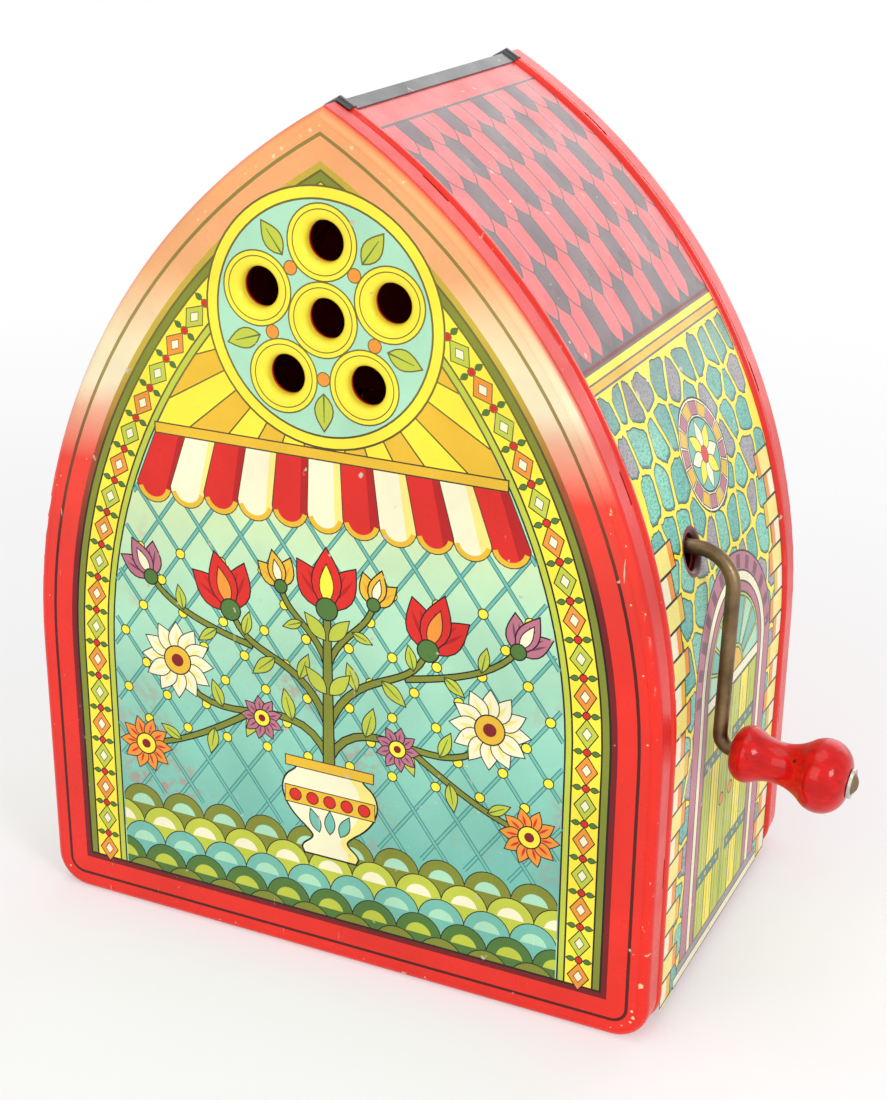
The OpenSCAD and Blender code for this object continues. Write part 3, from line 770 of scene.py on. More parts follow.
def inside_picture(point):
    return point.y > picture_low and abs(point.x) < half_width_at(point.y, picture_inset)


def rim_point(angle):
    """Where the picture ends in this direction from the middle of the disc."""
    near, far = 0.0, beyond_arch
    for _ in range(halvings):
        middle = (near + far) / 2
        near, far = (middle, far) if inside_picture(rose_middle + towards(angle) * middle) else (near, middle)
    return rose_middle + towards(angle) * near


for ray_index in range(ray_count):
    start = ray_angle * ray_index
    root = [rose_middle + towards(angle) * ray_start for angle in (start + ray_angle, start)]
    rim = [rim_point(start + ray_angle * share) for share in (0, 0.5, 1)]
    ray_ink = "yellow" if ray_index % 2 else "gold"
    ray_line = ribbon([root[1], rim[0]], thin_line)
    for shape, ink in ((root + rim, ray_ink), (ray_line, "front_line")):
        shape = above(shape, awning_high)
        if len(shape) > 2:
            front.fill(shape, ink)
print(ray_count, "rays")

# %% Disc of holes
disc_radius = 33.6
disc_rim = 3.2
hole_ring_radius = 19.8
hole_count = 5
hole_turn = 360 / hole_count
hole_mouth = 7.5
ring_radius = 9.6
ring_line_radii = (8.5, 8.2)
frond_root, frond_length, frond_width = 19.5, 9.5, 5.0
frond_vein = 7.5
stud_ring, stud_radius = 15.4, 1.7
for radius, ink in ((disc_radius, "yellow"), (disc_radius - disc_rim, "mint")):
    front.inked(disc(rose_middle, radius, 72), ink, bold_line)
hole_places = [rose_middle]
for step in range(hole_count):
    hole_places.append(rose_middle + towards(90 + hole_turn * step) * hole_ring_radius)
    angle = 90 + hole_turn * (step + 0.5)
    frond = leaf(rose_middle + towards(angle) * frond_root, angle, frond_length, frond_width)
    vein = [rose_middle + towards(angle) * radius for radius in (frond_root, frond_root + frond_vein)]
    front.inked(frond, "lime", thin_line)
    front.fill(ribbon(vein, vein_width, hair_line), "green")
    front.inked(disc(rose_middle + towards(angle) * stud_ring, stud_radius, 16), "orange", fine_line)
for place in hole_places:
    front.inked(disc(place, ring_radius), "yellow", thin_line)
    for radius, ink in (*zip(ring_line_radii, ("front_line", "yellow")), (hole_mouth, None)):
        front.fill(disc(place, radius), ink)
print(len(hole_places), "holes")

# %% [markdown]
# ## Trellis, awning and ground
# Below the sun hangs a striped awning with a scalloped edge, then comes a diamond trellis on a pale sky,
# then rows of overlapping scallops as ground. All three are plain stock patterns. Each is one shape in a
# loop, and lines and scallops that would leave the picture are cut at its edge.


# %% Trellis
def clipped(start, stop, inside, steps=240):
    """The part of a line from start to stop that lies inside, or None."""
    points = [start.lerp(stop, step / steps) for step in range(steps + 1)]
    kept = [point for point in points if inside(point)]
    return [kept[0], kept[-1]] if len(kept) > 1 else None


garden_low, garden_high = 41.0, 140.0
garden_side = half_width - picture_inset
trellis_step = 13.0
trellis_middle = 90.0
trellis_slope = at(110, 150)
shortest_lath = 4.0
lath_width, lath_face = 1.3, 0.7
laths = range(-14, 15)
knot_rows, knot_columns = range(-3, 4), range(-6, 7)
knot_radius = 1.3
knot_margin = 2.0


def inside_garden(point):
    return inside_picture(point) and garden_low - 2 < point.y < garden_high


front.fill([point for point in arch(picture_inset, picture_inset) if point.y <= garden_high], "garden_sky")
for lean in (1, -1):
    way = at(lean * trellis_slope.x, trellis_slope.y)
    for index in laths:
        middle = at(index * trellis_step, trellis_middle)
        lath = clipped(middle - way, middle + way, inside_garden)
        if lath and (lath[1] - lath[0]).length > shortest_lath:
            front.fill(ribbon(lath, lath_width), "deep_teal")
            front.fill(ribbon(lath, lath_face), "teal")
knot_rise = trellis_step * trellis_slope.y / (2 * trellis_slope.x)
for row in knot_rows:
    for column in knot_columns:
        knot = at((column + (row % 2) / 2) * trellis_step, trellis_middle + row * knot_rise)
        if inside_garden(knot) and abs(knot.x) < half_width_at(knot.y, picture_inset + knot_margin):
            front.inked(disc(knot, knot_radius, 12), "yellow", fine_line)
print("trellis of", trellis_step, "mm diamonds")

# %% Awning
stripe_count = 11
awning_drop = 15.0
awning_edge = 0.6
awning_low = awning_high - awning_drop
awning_side = half_width_at(awning_high, picture_inset) - awning_edge
awning_low_side = half_width_at(awning_low, picture_inset) - awning_edge
awning_trim = 1.4
awning_rail = 2.6
fold_share = 0.76
for stripe in range(stripe_count):
    shares = [2 * (stripe + end) / stripe_count - 1 for end in (0, fold_share, 1)]
    tops = [at(awning_side * share, awning_high) for share in shares]
    feet = [at(awning_low_side * share, awning_low) for share in shares]
    middle, radius = (feet[0] + feet[2]) / 2, (feet[2].x - feet[0].x) / 2
    cloth_ink, fold_ink = ("red", "deep_red") if stripe % 2 == 0 else ("cream", "straw")
    front.inked(arc(middle, radius, 180, 360, 10) + [tops[2], tops[0]], cloth_ink, fine_line)
    fold_start = -math.degrees(math.acos(2 * fold_share - 1))
    front.fill(arc(middle, radius, fold_start, 0, 5) + [tops[2], tops[1]], fold_ink)
    front.fill(arc(middle, radius, 195, 345, 10) + arc(middle, radius - awning_trim, 345, 195, 10), "gold")
front.inked(bar(0, awning_side, awning_high, awning_high + awning_rail), "gold", thin_line)
print("awning with", stripe_count, "stripes")

# %% Ground
scallop_count = 10
scallop_radius = garden_side / scallop_count
scallop_rise = 6.2
scallop_heart = 0.58
scallop_rows = (("olive", "mint"), ("lime", "cream"), ("teal", "mint"), ("green", "lime"), ("olive", "mint"))
for row, (scallop_ink, heart_ink) in enumerate(scallop_rows):
    shift = row % 2
    for index in range(scallop_count + shift):
        across = (2 * index - scallop_count + 1 - shift) * scallop_radius
        middle = at(across, garden_low - row * scallop_rise - scallop_radius)
        dome = arc(middle, scallop_radius, 0, 180, 14)
        dome += [middle + at(-scallop_radius, -scallop_radius), middle + at(scallop_radius, -scallop_radius)]
        heart = arc(middle, scallop_radius * scallop_heart, 10, 170, 10)
        for shape, ink in ((offset(dome, fine_line), "front_line"), (dome, scallop_ink), (heart, heart_ink)):
            shape = above(within(shape, garden_side - fine_line), picture_low)
            if len(shape) > 2:
                front.fill(shape, ink)
print(len(scallop_rows), "rows of scallops")

# %% [markdown]
# ## Flowering tree
# A tree that grows evenly from an urn is an old motif of painted furniture. Branches and flowers are drawn
# on one side and mirrored, and what stands on the middle line is drawn once. Stems are tapered ribbons
# along smooth curves, and leaves and petals are a few outlines turned and scaled. Each petal gets darker
# strokes, as an engraver would shade it.

# %% Stems
tree_print = Drawing()
stem_tip = 1.2
leaf_share = 0.42
vein_share = 0.75


def stem(path, leaves, width=2.0):
    """A stem with leaves. Each leaf is its place along the stem, its angle from it and its length."""
    tree_print.pair(ribbon(path, width, stem_tip), "olive", thin_line)
    for share, turn, length in leaves:
        joint = int(share * (len(path) - 1))
        way = path[min(joint + 1, len(path) - 1)] - path[joint]
        angle = math.degrees(math.atan2(way.y, way.x)) + turn
        vein = [path[joint], path[joint] + towards(angle) * length * vein_share]
        tree_print.pair(leaf(path[joint], angle, length, length * leaf_share), "lime", fine_line)
        tree_print.pair(ribbon(vein, vein_width, hair_line), "green")


stem(curve(at(0, 64), at(10, 86), at(34, 62), at(47, 80)), ((0.3, 70, 9), (0.5, -60, 9), (0.75, 60, 8)))
stem(curve(at(20, 76), at(34, 66), at(48, 58), at(58, 56), 10), ((0.4, -50, 8), (0.7, 50, 7)), 1.6)
stem(curve(at(23.5, 93.5), at(36, 96), at(50, 100), at(55, 108), 10), ((0.35, -55, 7), (0.6, 50, 7)), 1.5)
stem(curve(at(0, 74), at(8, 96), at(26, 88), at(30, 104)), ((0.35, 75, 8), (0.55, -65, 9), (0.8, 55, 7)))
stem(curve(at(0, 92), at(4, 104), at(12, 104), at(14, 113), 10), ((0.5, -65, 6),), 1.5)
tree_print.inked(ribbon([at(0, 62), at(0, 90), at(0, 112)], 3.2, 1.6), "olive", thin_line)
for height in (84, 100):
    tree_print.pair(leaf(at(0.6, height), 48, 9, 4), "lime", fine_line)
print("stems", len(tree_print.shapes), "shapes")


# %% Flowers
def tulip(middle, angle, size, ink, stroke, heart):
    """Three petals round a heart, open towards the angle. One on the middle line has no mirror image."""
    both = middle.x > 0
    for turn, length in ((-34, 1.0), (34, 1.0), (0, 1.12)):
        tree_print.pair(leaf(middle, angle + turn, size * length, size * 0.56), ink, thin_line, both)
        for lean in (-9, 9):
            root = middle + towards(angle + turn + lean) * size * 0.3
            shading = leaf(root, angle + turn + lean / 2, size * 0.5, size * 0.07)
            tree_print.pair(shading, stroke, both=both)
    inner = leaf(middle + towards(angle) * size * 0.12, angle, size * 0.7, size * 0.26)
    tree_print.pair(inner, heart, fine_line, both)
    tree_print.pair(disc(middle, size * 0.2, 16), "green", thin_line, both)


def daisy(middle, size, ink, stroke, heart, count=12):
    """Pointed petals round a heart with a dark middle."""
    for petal in range(count):
        angle = 360 / count * petal
        petal_shape = leaf(middle + towards(angle) * size * 0.2, angle, size * 0.8, size * 0.44)
        shading = leaf(middle + towards(angle) * size * 0.38, angle, size * 0.42, size * 0.09)
        tree_print.pair(petal_shape, ink, fine_line)
        tree_print.pair(shading, stroke)
    tree_print.pair(disc(middle, size * 0.36, 24), heart, thin_line)
    tree_print.pair(disc(middle, size * 0.17, 16), "maroon")


daisy(at(48, 84), 11.5, "cream", "straw", "gold")
daisy(at(60, 55), 8.5, "orange", "red", "yellow", 10)
tulip(at(30, 103), 74, 15, "red", "deep_red", "orange")
tulip(at(55.5, 108), 62, 10.5, "mauve", "plum", "cream")
tulip(at(14, 113), 76, 9, "gold", "orange", "cream")
tulip(at(0, 109), 90, 15.5, "red", "deep_red", "yellow")
daisy(at(21, 72), 6.5, "mauve", "plum", "yellow", 9)
print("tree", len(tree_print.shapes), "shapes")


# %% Urn
def rounded(points):
    """A line of points with its corners cut off, while its ends stay."""
    inner = []
    for here, after in zip(points, points[1:]):
        inner += [here.lerp(after, 0.25), here.lerp(after, 0.75)]
    return points[:1] + inner + points[-1:]


urn_low, urn_high = 33.0, 62.0
urn_side = [(8, 0), (9, 2), (5, 5), (5.5, 7), (12, 12), (15, 18), (14, 23), (10, 26), (10.5, 27), (13, 29)]
urn_shade = 0.66
urn_band_half, urn_rim_half = 14, 13.6
urn_dot_gap, urn_dot_radius = 5.4, 1.7
urn_right = rounded(rounded([at(across, urn_low + up) for across, up in urn_side]))
tree_print.inked(urn_right + mirrored(urn_right[::-1]), "cream", bold_line)
tree_print.fill(urn_right + [at(point.x * urn_shade, point.y) for point in urn_right[::-1]], "straw")
tree_print.inked(bar(0, urn_band_half, urn_low + 15, urn_low + 20), "gold", fine_line)
for index in range(-2, 3):
    tree_print.inked(disc(at(index * urn_dot_gap, urn_low + 17.5), urn_dot_radius, 16), "red", fine_line)
for index in range(-1, 2):
    tree_print.inked(leaf(at(index * 3.4, urn_low + 7.5), 90 - index * 22, 7, 3), "teal", fine_line)
tree_print.inked(bar(0, urn_rim_half, urn_high - 2.4, urn_high + 0.4), "gold", fine_line)
front.shapes += tree_print.shapes
print("urn", urn_high - urn_low, "mm high")

# %% [markdown]
# ## Chips
# Old enamel breaks away along the edges, and most at the peak and the foot. A noise in the material would
# eat at it everywhere alike, so small ragged patches are drawn where the wear is. A seeded generator
# gives the same ones each time.

# %% Chips on the front
chance = random.Random(7)
chip_corners = 9
scattered_chips = 34
edge_wear = face_inset + 0.9
edge_path = arch(edge_wear, edge_wear, panel_corner - edge_wear, 60)
peak_wear, foot_wear, middle_wear = (0.7, 0.8), (0.4, 0.8), (0.1, 0.5)
peak_low, foot_high = 222, 14


def chip(drawing, middle, size):
    turns = [360 / chip_corners * step for step in range(chip_corners)]
    drawing.fill([middle + towards(turn) * size * chance.uniform(0.45, 1.0) for turn in turns], "bare")


for point in edge_path:
    share, largest = middle_wear
    if point.y > peak_low:
        share, largest = peak_wear
    elif point.y < foot_high:
        share, largest = foot_wear
    if chance.random() < share:
        size = chance.uniform(0.2, largest)
        chip(front, point + at(chance.uniform(-0.5, 0.5), chance.uniform(-0.6, 0.2)), size)
for _ in range(scattered_chips):
    spot = at(chance.uniform(-80, 80), chance.uniform(10, 220))
    on_tin = all((spot - place).length > hole_mouth + 1 for place in hole_places)
    if inside_picture(spot) and on_tin:
        chip(front, spot, chance.uniform(0.15, 0.45))
print_sheet("front_print", front, lambda point: (point.x, -half_depth - lift, point.y))

# %% [markdown]
# ## Ink over the lips
# The ink went on before the holes were drawn, so it stretches over each rounded lip and down inside. The
# flat print can't follow that. A profile of the lip, turned about the hole's axis a hair above the tin,
# does.

# %% Rings over the lips
ring_steps = 48
bend_steps = 8


def lip_rings(name, mouth, lip, depth_end, frames, ink):
    """Rings of ink over drawn lips. Each frame puts a point given by two offsets and a depth on the toy."""
    bends = [math.radians(90 * step / bend_steps) for step in range(bend_steps + 1)]
    profile = [(mouth - (lip + lift) * math.sin(bend), lip - (lip + lift) * math.cos(bend)) for bend in bends]
    profile.append((mouth - lip - lift, depth_end))
    rows = len(profile)
    points, faces = [], []
    for frame_of_hole in frames:
        first = len(points)
        for step in range(ring_steps):
            way = towards(360 / ring_steps * step)
            points += [frame_of_hole(way * radius, depth) * mm for radius, depth in profile]
            here, there = first + step * rows, first + (step + 1) % ring_steps * rows
            faces += [(here + row + 1, here + row, there + row, there + row + 1) for row in range(rows - 1)]
    rings = new_piece(name, points, faces)
    rings.data.materials.append(inks[ink])
    lay_on_case(rings)
    print(name, "over", len(frames), "lips")


def sound_hole_frame(place):
    return lambda spread, depth: Vector((place.x + spread.x, depth - half_depth, place.y + spread.y))


sound_hole_lip = 2.1
sound_hole_ink_depth = 3.1
hole_frames = [sound_hole_frame(place) for place in hole_places]
lip_rings("hole_rings", hole_mouth, sound_hole_lip, sound_hole_ink_depth, hole_frames, "yellow")

# %% [markdown]
# ## The sides
# One printed sheet runs from the foot of each wall up over the roof. It is drawn flat, by its length
# along the tin, and then bent. A modifier could bend it, but a formula puts each point exactly on the
# wall. Cut lines across the drawing every few millimetres let the mosaic follow the curve.

# %% Bending the side print
sheet_inset = 0.55
print_half = 48.4
side_radius = arc_radius - sheet_inset
ridge_path = spring + arc_radius * math.acos(arc_offset / side_radius)
wall_low = 3.0
side_top = ridge_path - 3.2
bend_spacing = 4.0


def on_wall(point, hand):
    """A point of the flat side drawing on the wall: hand is 1 for the right and -1 for the left."""
    across, path = point
    if path <= spring:
        return (hand * (half_width - sheet_inset + lift), hand * across, path)
    turn = (path - spring) / arc_radius
    reach = side_radius + lift
    return (hand * (reach * math.cos(turn) - arc_offset), hand * across, spring + reach * math.sin(turn))


bend_count = math.ceil((side_top - spring) / bend_spacing)
bend_paths = [spring + bend_spacing * step for step in range(bend_count)]
bend_cuts = [(at(-print_half, path), at(print_half, path)) for path in bend_paths]
print("side print", round(side_top - wall_low, 1), "mm long,", len(bend_cuts), "bend lines")

# %% [markdown]
# ## Stone wall
# Stones of teal and grey lie in yellow mortar. Drawing each by hand would take long and repeat itself, so
# points are scattered on a loose grid, and each stone is the ground that lies nearer to its point than to
# any other, with rounded corners. The printer's fine stipple is too small to draw. It is a noise in the
# ink, which also darkens under the gutter.

# %% Stone inks
stone_tones = {
    "stone_teal": (tone(140, 214, 188), tone(74, 156, 142)),
    "stone_sea": (tone(118, 196, 178), tone(62, 138, 132)),
    "stone_grey": (tone(176, 168, 172), tone(104, 116, 124)),
}


def stone_colour(tree, base_tone, speck_tone):
    """Stippled stone that darkens under the gutter."""
    stipple = between(tree, noise(tree, 1.0, 3, (1000, 1000, 2400)), 0.47, 0.6, 0.0, 0.8)
    gutter_shadow = between(tree, along(tree, "Z"), 0.155, 0.176, 0.0, 0.7)
    return blend(tree, gutter_shadow, blend(tree, stipple, base_tone, speck_tone), tone(112, 112, 112))


for ink_name, tones in stone_tones.items():
    inks[ink_name] = printed("ink_" + ink_name, lambda tree: stone_colour(tree, *tones))
print(len(stone_tones), "stone inks")

# %% Stones
side = Drawing()


def course(low, high, ink):
    """A plain strip across the whole sheet."""
    side.fill(bar(0, print_half, low, high), ink)


course(wall_low, side_top, "yellow")
gutter_path = 179.0
stone_chance = random.Random(21)
stone_wide, stone_high = 9.6, 11.8
stone_rows, stone_columns = 16, 11
mortar_half = 0.75
wall_margin = 0.6
neighbour_reach = 32
least_stone = 8
lit_share = 0.93
lit_shift = at(-0.25, 0.25)
stone_points = []
for row in range(stone_rows):
    for column in range(stone_columns):
        across = (column - 5 + (row % 2) * 0.5) * stone_wide + stone_chance.uniform(-2.6, 2.6)
        stone_points.append(at(across, wall_low + 4 + row * stone_high + stone_chance.uniform(-3.6, 3.6)))


def middle_of(shape):
    return sum(shape, at(0, 0)) / len(shape)


def stone_shape(point):
    """The ground nearest to one point, less half the mortar, with its corners cut off."""
    side_edge = print_half - wall_margin
    shape = bar(0, side_edge, wall_low + wall_margin, gutter_path - wall_margin)
    for other in stone_points:
        gap = other - point
        if 0 < gap.length < neighbour_reach:
            way = gap.normalized()
            shape = cut_by(shape, point + gap / 2 - way * mortar_half, way)
            if len(shape) < 3:
                return None
    worn_corners = []
    for here, after in zip(shape, shape[1:] + shape[:1]):
        worn_corners += [here.lerp(after, share) for share in (0.14, 0.3, 0.7, 0.86)]
    return [corner.lerp(middle_of(shape), stone_chance.uniform(0.0, 0.1)) for corner in worn_corners]


stone_choices = ("stone_teal", "stone_teal", "stone_sea", "stone_sea", "stone_grey")
stone_count = 0
for point in stone_points:
    shape = stone_shape(point) if abs(point.x) < print_half and point.y < gutter_path else None
    if shape and area(shape) > least_stone:
        side.inked(shape, "deep_teal", fine_line)
        lit = [middle_of(shape).lerp(corner, lit_share) + lit_shift for corner in shape]
        side.fill(lit, stone_chance.choice(stone_choices))
        stone_count += 1
print(stone_count, "stones")

# %% Corner blocks
block_high = 7.4
block_gap = 0.4
block_long, block_short = 12.0, 8.0
block_end = 3.0
blocks_top = 142
block_count = int((blocks_top - wall_low - wall_margin) / block_high)
for step in range(block_count):
    low = wall_low + wall_margin + step * block_high + block_gap
    high = low + block_high - 2 * block_gap
    start = print_half - (block_long if step % 2 else block_short)
    side.pair(box(start, low, print_half - 0.5, high), "straw" if step % 2 else "cream", bold_line)
    side.pair(box(start, low, start + block_end, high), "orange" if step % 3 else "gold")
print(block_count, "corner blocks on each edge")

# %% [markdown]
# ## Door and round window
# A pair of boarded doors under a fan light fills the middle of the wall, with a round window above. A
# modelled door would be wrong here, because on the toy it is only ink. The arch is three nested bands, so
# one helper that draws a doorway of a given size does all of them.

# %% Doorway
door_middle = 1.5
door_spring = 84.0
door_low = wall_low + 4
door_half = 22.5
door_head = at(door_middle, door_spring)
door_bands = ((34, "mauve"), (28.5, "cream"), (25.5, "mauve"), (door_half, "lime"))
voussoirs = 13
voussoir_ends = (29.3, 33.2)
voussoir_width = 3.2
fan_panes = 9
fan_rim, fan_hub, fan_sun = 21.5, 8.5, 7
lintel = 3


def doorway(half):
    feet = [at(door_middle - half, door_low), at(door_middle + half, door_low)]
    return feet[1:] + arc(door_head, half, 0, 180, 30) + feet[:1]


for half, band_ink in door_bands:
    side.inked(doorway(half), band_ink, bold_line)
for step in range(voussoirs):
    way = towards(180 / voussoirs * (step + 0.5))
    side.fill(ribbon([door_head + way * radius for radius in voussoir_ends], voussoir_width), "plum")
for step in range(fan_panes):
    start = 180 / fan_panes * step
    rim = [door_head + towards(start + turn) * fan_rim for turn in (2, 10, 18)]
    hub = [door_head + towards(start + turn) * fan_hub for turn in (17, 3)]
    side.inked(rim + hub, "teal" if step % 2 else "mint", thin_line)
side.inked(arc(door_head, fan_sun, 0, 180, 16), "gold", thin_line)
side.inked(bar(door_middle, door_half, door_spring - lintel, door_spring), "cream", bold_line)
print("doorway", 2 * door_half, "mm wide")

# %% Boards, straps and steps
board_pitch, board_width = 7.2, 6.6
strap_heights = (26, 62)
strap_width = 3.2
stud_gap = 4.9
knob_height, knob_radius = 46, 1.7
step_high = 2.6
door_steps = ((36, wall_low + 3.2, "grey"), (38.5, wall_low + 0.4, "cream"))
for leaf_side in (-1, 1):
    for board in range(3):
        start = door_middle + leaf_side * (0.8 + board * board_pitch)
        left, right = sorted((start, start + leaf_side * board_width))
        board_ink = "yellow" if board % 2 else "lime"
        side.inked(box(left, door_low + 1, right, door_spring - 4), board_ink, thin_line)
        long_grain = [at(left + 2.0, door_low + 4), at(left + 2.6, door_spring - 9)]
        short_grain = [at(right - 1.6, door_low + 9), at(right - 1.9, door_spring - 14)]
        for grain, width in ((long_grain, thin_line), (short_grain, fine_line)):
            side.fill(ribbon(grain, width), "olive")
    for height in strap_heights:
        left, right = sorted((door_middle + leaf_side * 3, door_middle + leaf_side * 22))
        side.inked(box(left, height, right, height + strap_width), "deep_teal", thin_line)
        for stud in range(4):
            stud_place = at(left + 2.2 + stud * stud_gap, height + strap_width / 2)
            side.inked(disc(stud_place, 0.8, 12), "gold", hair_line)
    side.inked(disc(at(door_middle + leaf_side * 4, knob_height), knob_radius, 16), "orange", thin_line)
for half, low, step_ink in door_steps:
    side.inked(bar(door_middle, half, low, low + step_high), step_ink, thin_line)
print("six boards, four straps and two steps")

# %% Round window above the door
window_middle = at(door_middle, 148)
window_stones = 16
window_petals = 8
window_radius, glass_radius = 15.5, 10
stone_outer, stone_inner = 14.8, 11.2
side.inked(disc(window_middle, window_radius, 48), "cream", bold_line)
for step in range(window_stones):
    start = 360 / window_stones * step
    first, last = start + 2, start + 20.5
    corners = ((first, stone_outer), (last, stone_outer), (last, stone_inner), (first, stone_inner))
    stone = [window_middle + towards(angle) * radius for angle, radius in corners]
    side.inked(stone, "mauve" if step % 2 else "gold", fine_line)
side.inked(disc(window_middle, glass_radius, 40), "teal", bold_line)
for step in range(window_petals):
    angle = 360 / window_petals * step
    petal = leaf(window_middle + towards(angle) * 1.5, angle, 8, 4)
    side.inked(petal, "yellow" if step % 2 else "cream", fine_line)
side.inked(disc(window_middle, 2.2, 20), "red", fine_line)
print("round window with", window_petals, "petals")

# %% [markdown]
# ## Gutter and shingles
# Long pointed shingles hang in staggered rows, one dark to two red. Upper rows are printed over lower
# ones, the way a roofer lays them, so each shingle is one whole shape. Dark and yellow lines close the
# roof at the gutter, and a plain red band closes it at the ridge.

# %% Roof
roof_low = 186.4
ridge_band = 264.0
ridge_line = 0.8
gutter_lines = ((179.6, 181.6, "gold"), (182.1, 184.2, "yellow"), (184.9, 185.9, "maroon"))
shingle_count = 13
shingle_wide = 2 * print_half / shingle_count
shingle_lap = 7.0
row_pitch = 13.4
row_count = 6
roof_chips = 16
course(gutter_path, side_top, "roof_line")
for low, high, line_ink in gutter_lines:
    course(low, high, line_ink)
for row in range(row_count):
    tip = roof_low + row * row_pitch
    top = min(tip + row_pitch + shingle_lap, ridge_band)
    half_shape = ((0.46, top), (0.46, tip + 4.2), (0.31, tip + 2.2), (0.12, tip + 0.7))
    for index in range(shingle_count + 1):
        middle = -print_half + (index + 0.5 * (row % 2)) * shingle_wide
        shape = [at(middle - across * shingle_wide, up) for across, up in half_shape] + [at(middle, tip)]
        shape += [at(middle + across * shingle_wide, up) for across, up in reversed(half_shape)]
        shape = within(shape, print_half - hair_line)
        if len(shape) > 2:
            side.fill(within(offset(shape, bold_line), print_half), "roof_line")
            side.fill(shape, "shingle_dark" if index % 3 == row % 2 else "shingle_red")
course(ridge_band, ridge_band + ridge_line, "roof_line")
course(ridge_band + ridge_line, side_top, "roof_red")
for _ in range(roof_chips):
    spot = at(stone_chance.uniform(-46, 46), stone_chance.uniform(8, side_top - 4))
    chip(side, spot, stone_chance.uniform(0.2, 0.6))
print(row_count, "rows of shingles")

# %% [markdown]
# ## Laying the side prints
# Both walls carry the same drawing, and the right one also has the crank's hole, with a maroon ring of
# painted shade round its mouth. Its lip leans with the wall, and its ring of ink is a dark painted shade,
# as inside the hole. The crank hole is placed by its height on the toy.

# %% Lay the side prints on the walls
crank_height = 128.0
crank_mouth = 6.1
crank_shade_ring = 0.8
crank_lip = 1.3
crank_ink_depth = 1.8
crank_hole_turn = math.asin((crank_height - spring) / side_radius)
crank_hole = at(-23.5, spring + arc_radius * crank_hole_turn)
right_side = Drawing()
right_side.shapes = list(side.shapes)
# A maroon ring of painted shade round the crank hole's mouth.
for radius, ink in ((crank_mouth + crank_shade_ring, "maroon"), (crank_mouth, None)):
    right_side.fill(disc(crank_hole, radius), ink)


def crank_hole_frame(spread, depth):
    """The crank hole's depth runs towards the middle of the wall's curve."""
    outward = Vector((math.cos(crank_hole_turn), 0, math.sin(crank_hole_turn)))
    upward = Vector((-outward.z, 0, outward.x))
    middle = Vector((-arc_offset, crank_hole.x, spring)) + outward * side_radius
    return middle + Vector((0, spread.x, 0)) + upward * spread.y - outward * depth


# The ring over the lip is painted shade, dark as the inside of the hole.
lip_rings("crank_hole_shade_ring", crank_mouth, crank_lip, crank_ink_depth, [crank_hole_frame], "painted_hole_shade")
print_sheet("right_side_print", right_side, lambda point: on_wall(point, 1), bend_cuts)
print_sheet("left_side_print", side, lambda point: on_wall(point, -1), bend_cuts)

# %% [markdown]
# ## The back
# The back is a guess. Such a toy is seldom looked at from behind, so it is taken to be plain: enamel with
# the same thin line as the front, chipped at the edge. It is one more small drawing, facing the other way.

# %% Back
back = Drawing()
back_wear = 0.2
bordered(back, "back_red", "brown")
for point in edge_path:
    if chance.random() < back_wear:
        chip(back, point, chance.uniform(0.3, 0.9))
print_sheet("back_print", back, lambda point: (-point.x, half_depth + lift, point.y))

# %% [markdown]
# ## Metal
# The crank is brown iron wire, and inside are brass and steel. A plain metal looks like plastic chrome,
# so each has a brushed grain in its roughness and a tarnish that gathers in patches. The stretch of the
# grain gives its direction.


# %% Metals
def metal(name, colour, tarnish, roughness, grain_stretch):
    finish = new_finish(name, metallic=1.0, roughness=roughness)
    tree = finish.node_tree
    patch = between(tree, noise(tree, 110, 5), 0.42, 0.72)
    join(finish, blend(tree, patch, colour, tarnish), "Base Color")
    grain = noise(tree, 1.0, 4, grain_stretch)
    join(finish, between(tree, grain, 0.25, 0.75, roughness - 0.1, roughness + 0.14), "Roughness")
    bump(finish, grain, 0.15, 0.0002)
    return finish


wire_iron = metal("wire_iron", tone(136, 114, 84), tone(82, 68, 50), 0.42, (400, 900, 900))
bright_steel = metal("bright_steel", tone(206, 206, 208), tone(150, 146, 142), 0.3, (1400, 200, 1400))
bracket_steel = metal("bracket_steel", tone(176, 178, 180), tone(128, 126, 124), 0.4, (300, 300, 1800))
warm_brass = metal("warm_brass", tone(222, 184, 98), tone(158, 118, 58), 0.32, (1600, 300, 300))
plain_tin = metal("plain_tin", tone(196, 194, 188), tone(140, 132, 120), 0.42, (260, 260, 1200))
print("five metals")

# %% [markdown]
# ## Wood and lacquer
# The board inside is pine, and the grip is turned wood under red lacquer. Wood grain is a noise drawn out
# along the plank. Lacquer is a dull red base with a smooth clear coat over it, so that a highlight stays
# sharp while the colour below is streaked and worn.

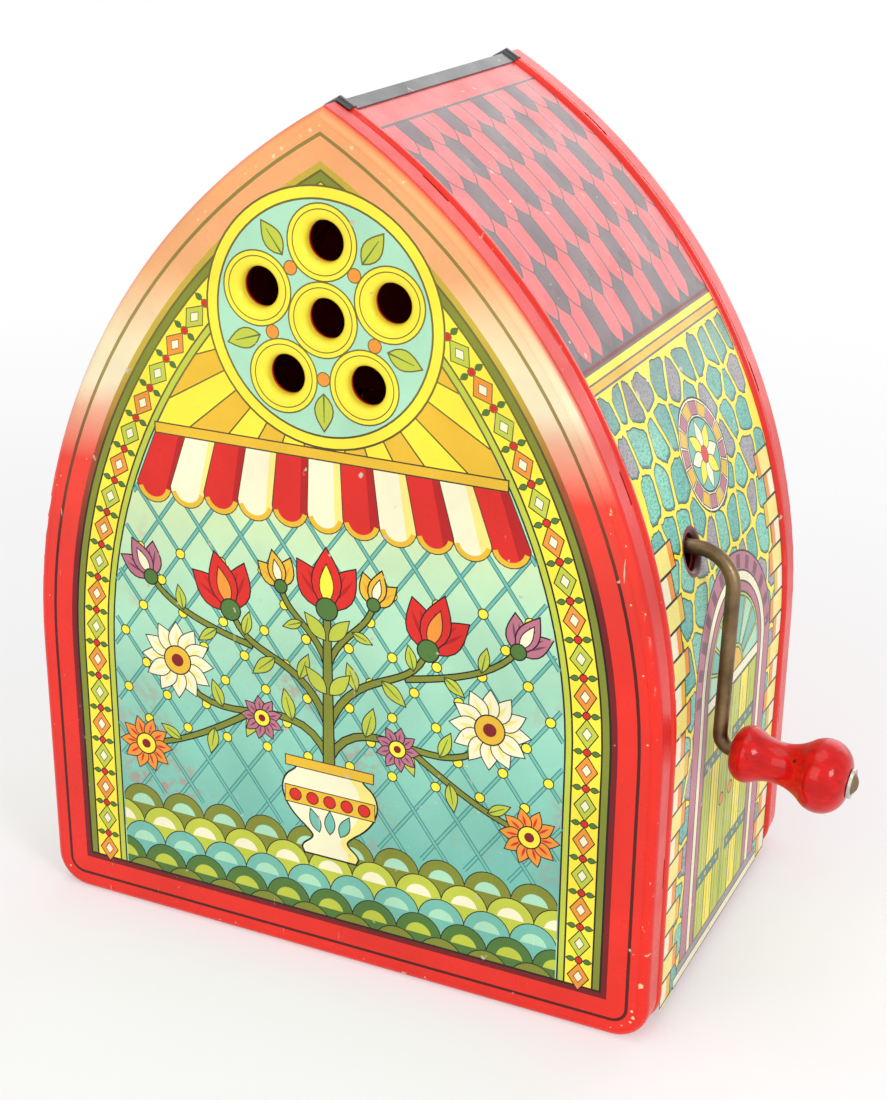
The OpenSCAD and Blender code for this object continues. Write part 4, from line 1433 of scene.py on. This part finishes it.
# %% Wood and lacquer
pine_plank = new_finish("pine_plank", roughness=0.6)
pine_tree = pine_plank.node_tree
pine_grain = between(pine_tree, noise(pine_tree, 1.0, 6, (18, 420, 420)), 0.3, 0.7)
join(pine_plank, blend(pine_tree, pine_grain, tone(206, 164, 108), tone(158, 112, 66)), "Base Color")
bump(pine_plank, pine_grain, 0.3, 0.0003)

red_lacquer = new_finish("red_lacquer", 0.4, specular=0.1, roughness=0.4)
lacquer_tree = red_lacquer.node_tree
lacquer_tree.nodes["Principled BSDF"].inputs["Coat Roughness"].default_value = 0.04
streaks = between(lacquer_tree, noise(lacquer_tree, 1.0, 4, (120, 500, 500)), 0.35, 0.7)
streaked = blend(lacquer_tree, streaks, tone(212, 8, 3), tone(176, 4, 2))
worn = between(lacquer_tree, noise(lacquer_tree, 300, 6), 0.70, 0.74)
join(red_lacquer, blend(lacquer_tree, worn, streaked, tone(96, 16, 12)), "Base Color")
bump(red_lacquer, noise(lacquer_tree, 160, 3), 0.25, 0.0004)
print("pine and lacquer")

# %% [markdown]
# ## Dressing the solids
# The frame's solids keep their shapes. Each only gets a finish in place of the plain one that it came
# with, so one list of finishes and names does it.

# %% Dress the solids
dress = {
    front_enamel: ["front_panel"],
    red_enamel: ["back_panel"],
    side_enamel: ["right_side_sheet", "left_side_sheet"],
    black_enamel: ["ridge_cap"],
    plain_tin: ["base_plate", "grip_washer"],
    pine_plank: ["base_board"],
    bracket_steel: ["right_bracket", "left_bracket", "comb_rail"],
    bright_steel: ["bracket_screws", "rail_screws", "comb_screws", "comb", "comb_clamp", "collar_screw",
                   "drum_arbor", "crank_collar"],
    warm_brass: ["right_crank_bush", "left_crank_bush", "right_drum_bush", "left_drum_bush", "drum_shell",
                 "right_drum_end", "left_drum_end", "drum_gear", "crank_pinion"],
    wire_iron: ["crank_wire"],
    red_lacquer: ["crank_grip"],
}
dressed = 0
for finish, names in dress.items():
    for name in names:
        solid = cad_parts[name].data
        for slot_index in range(len(solid.materials)):
            solid.materials[slot_index] = finish
        dressed += 1
print(dressed, "solids dressed of", len(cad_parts))
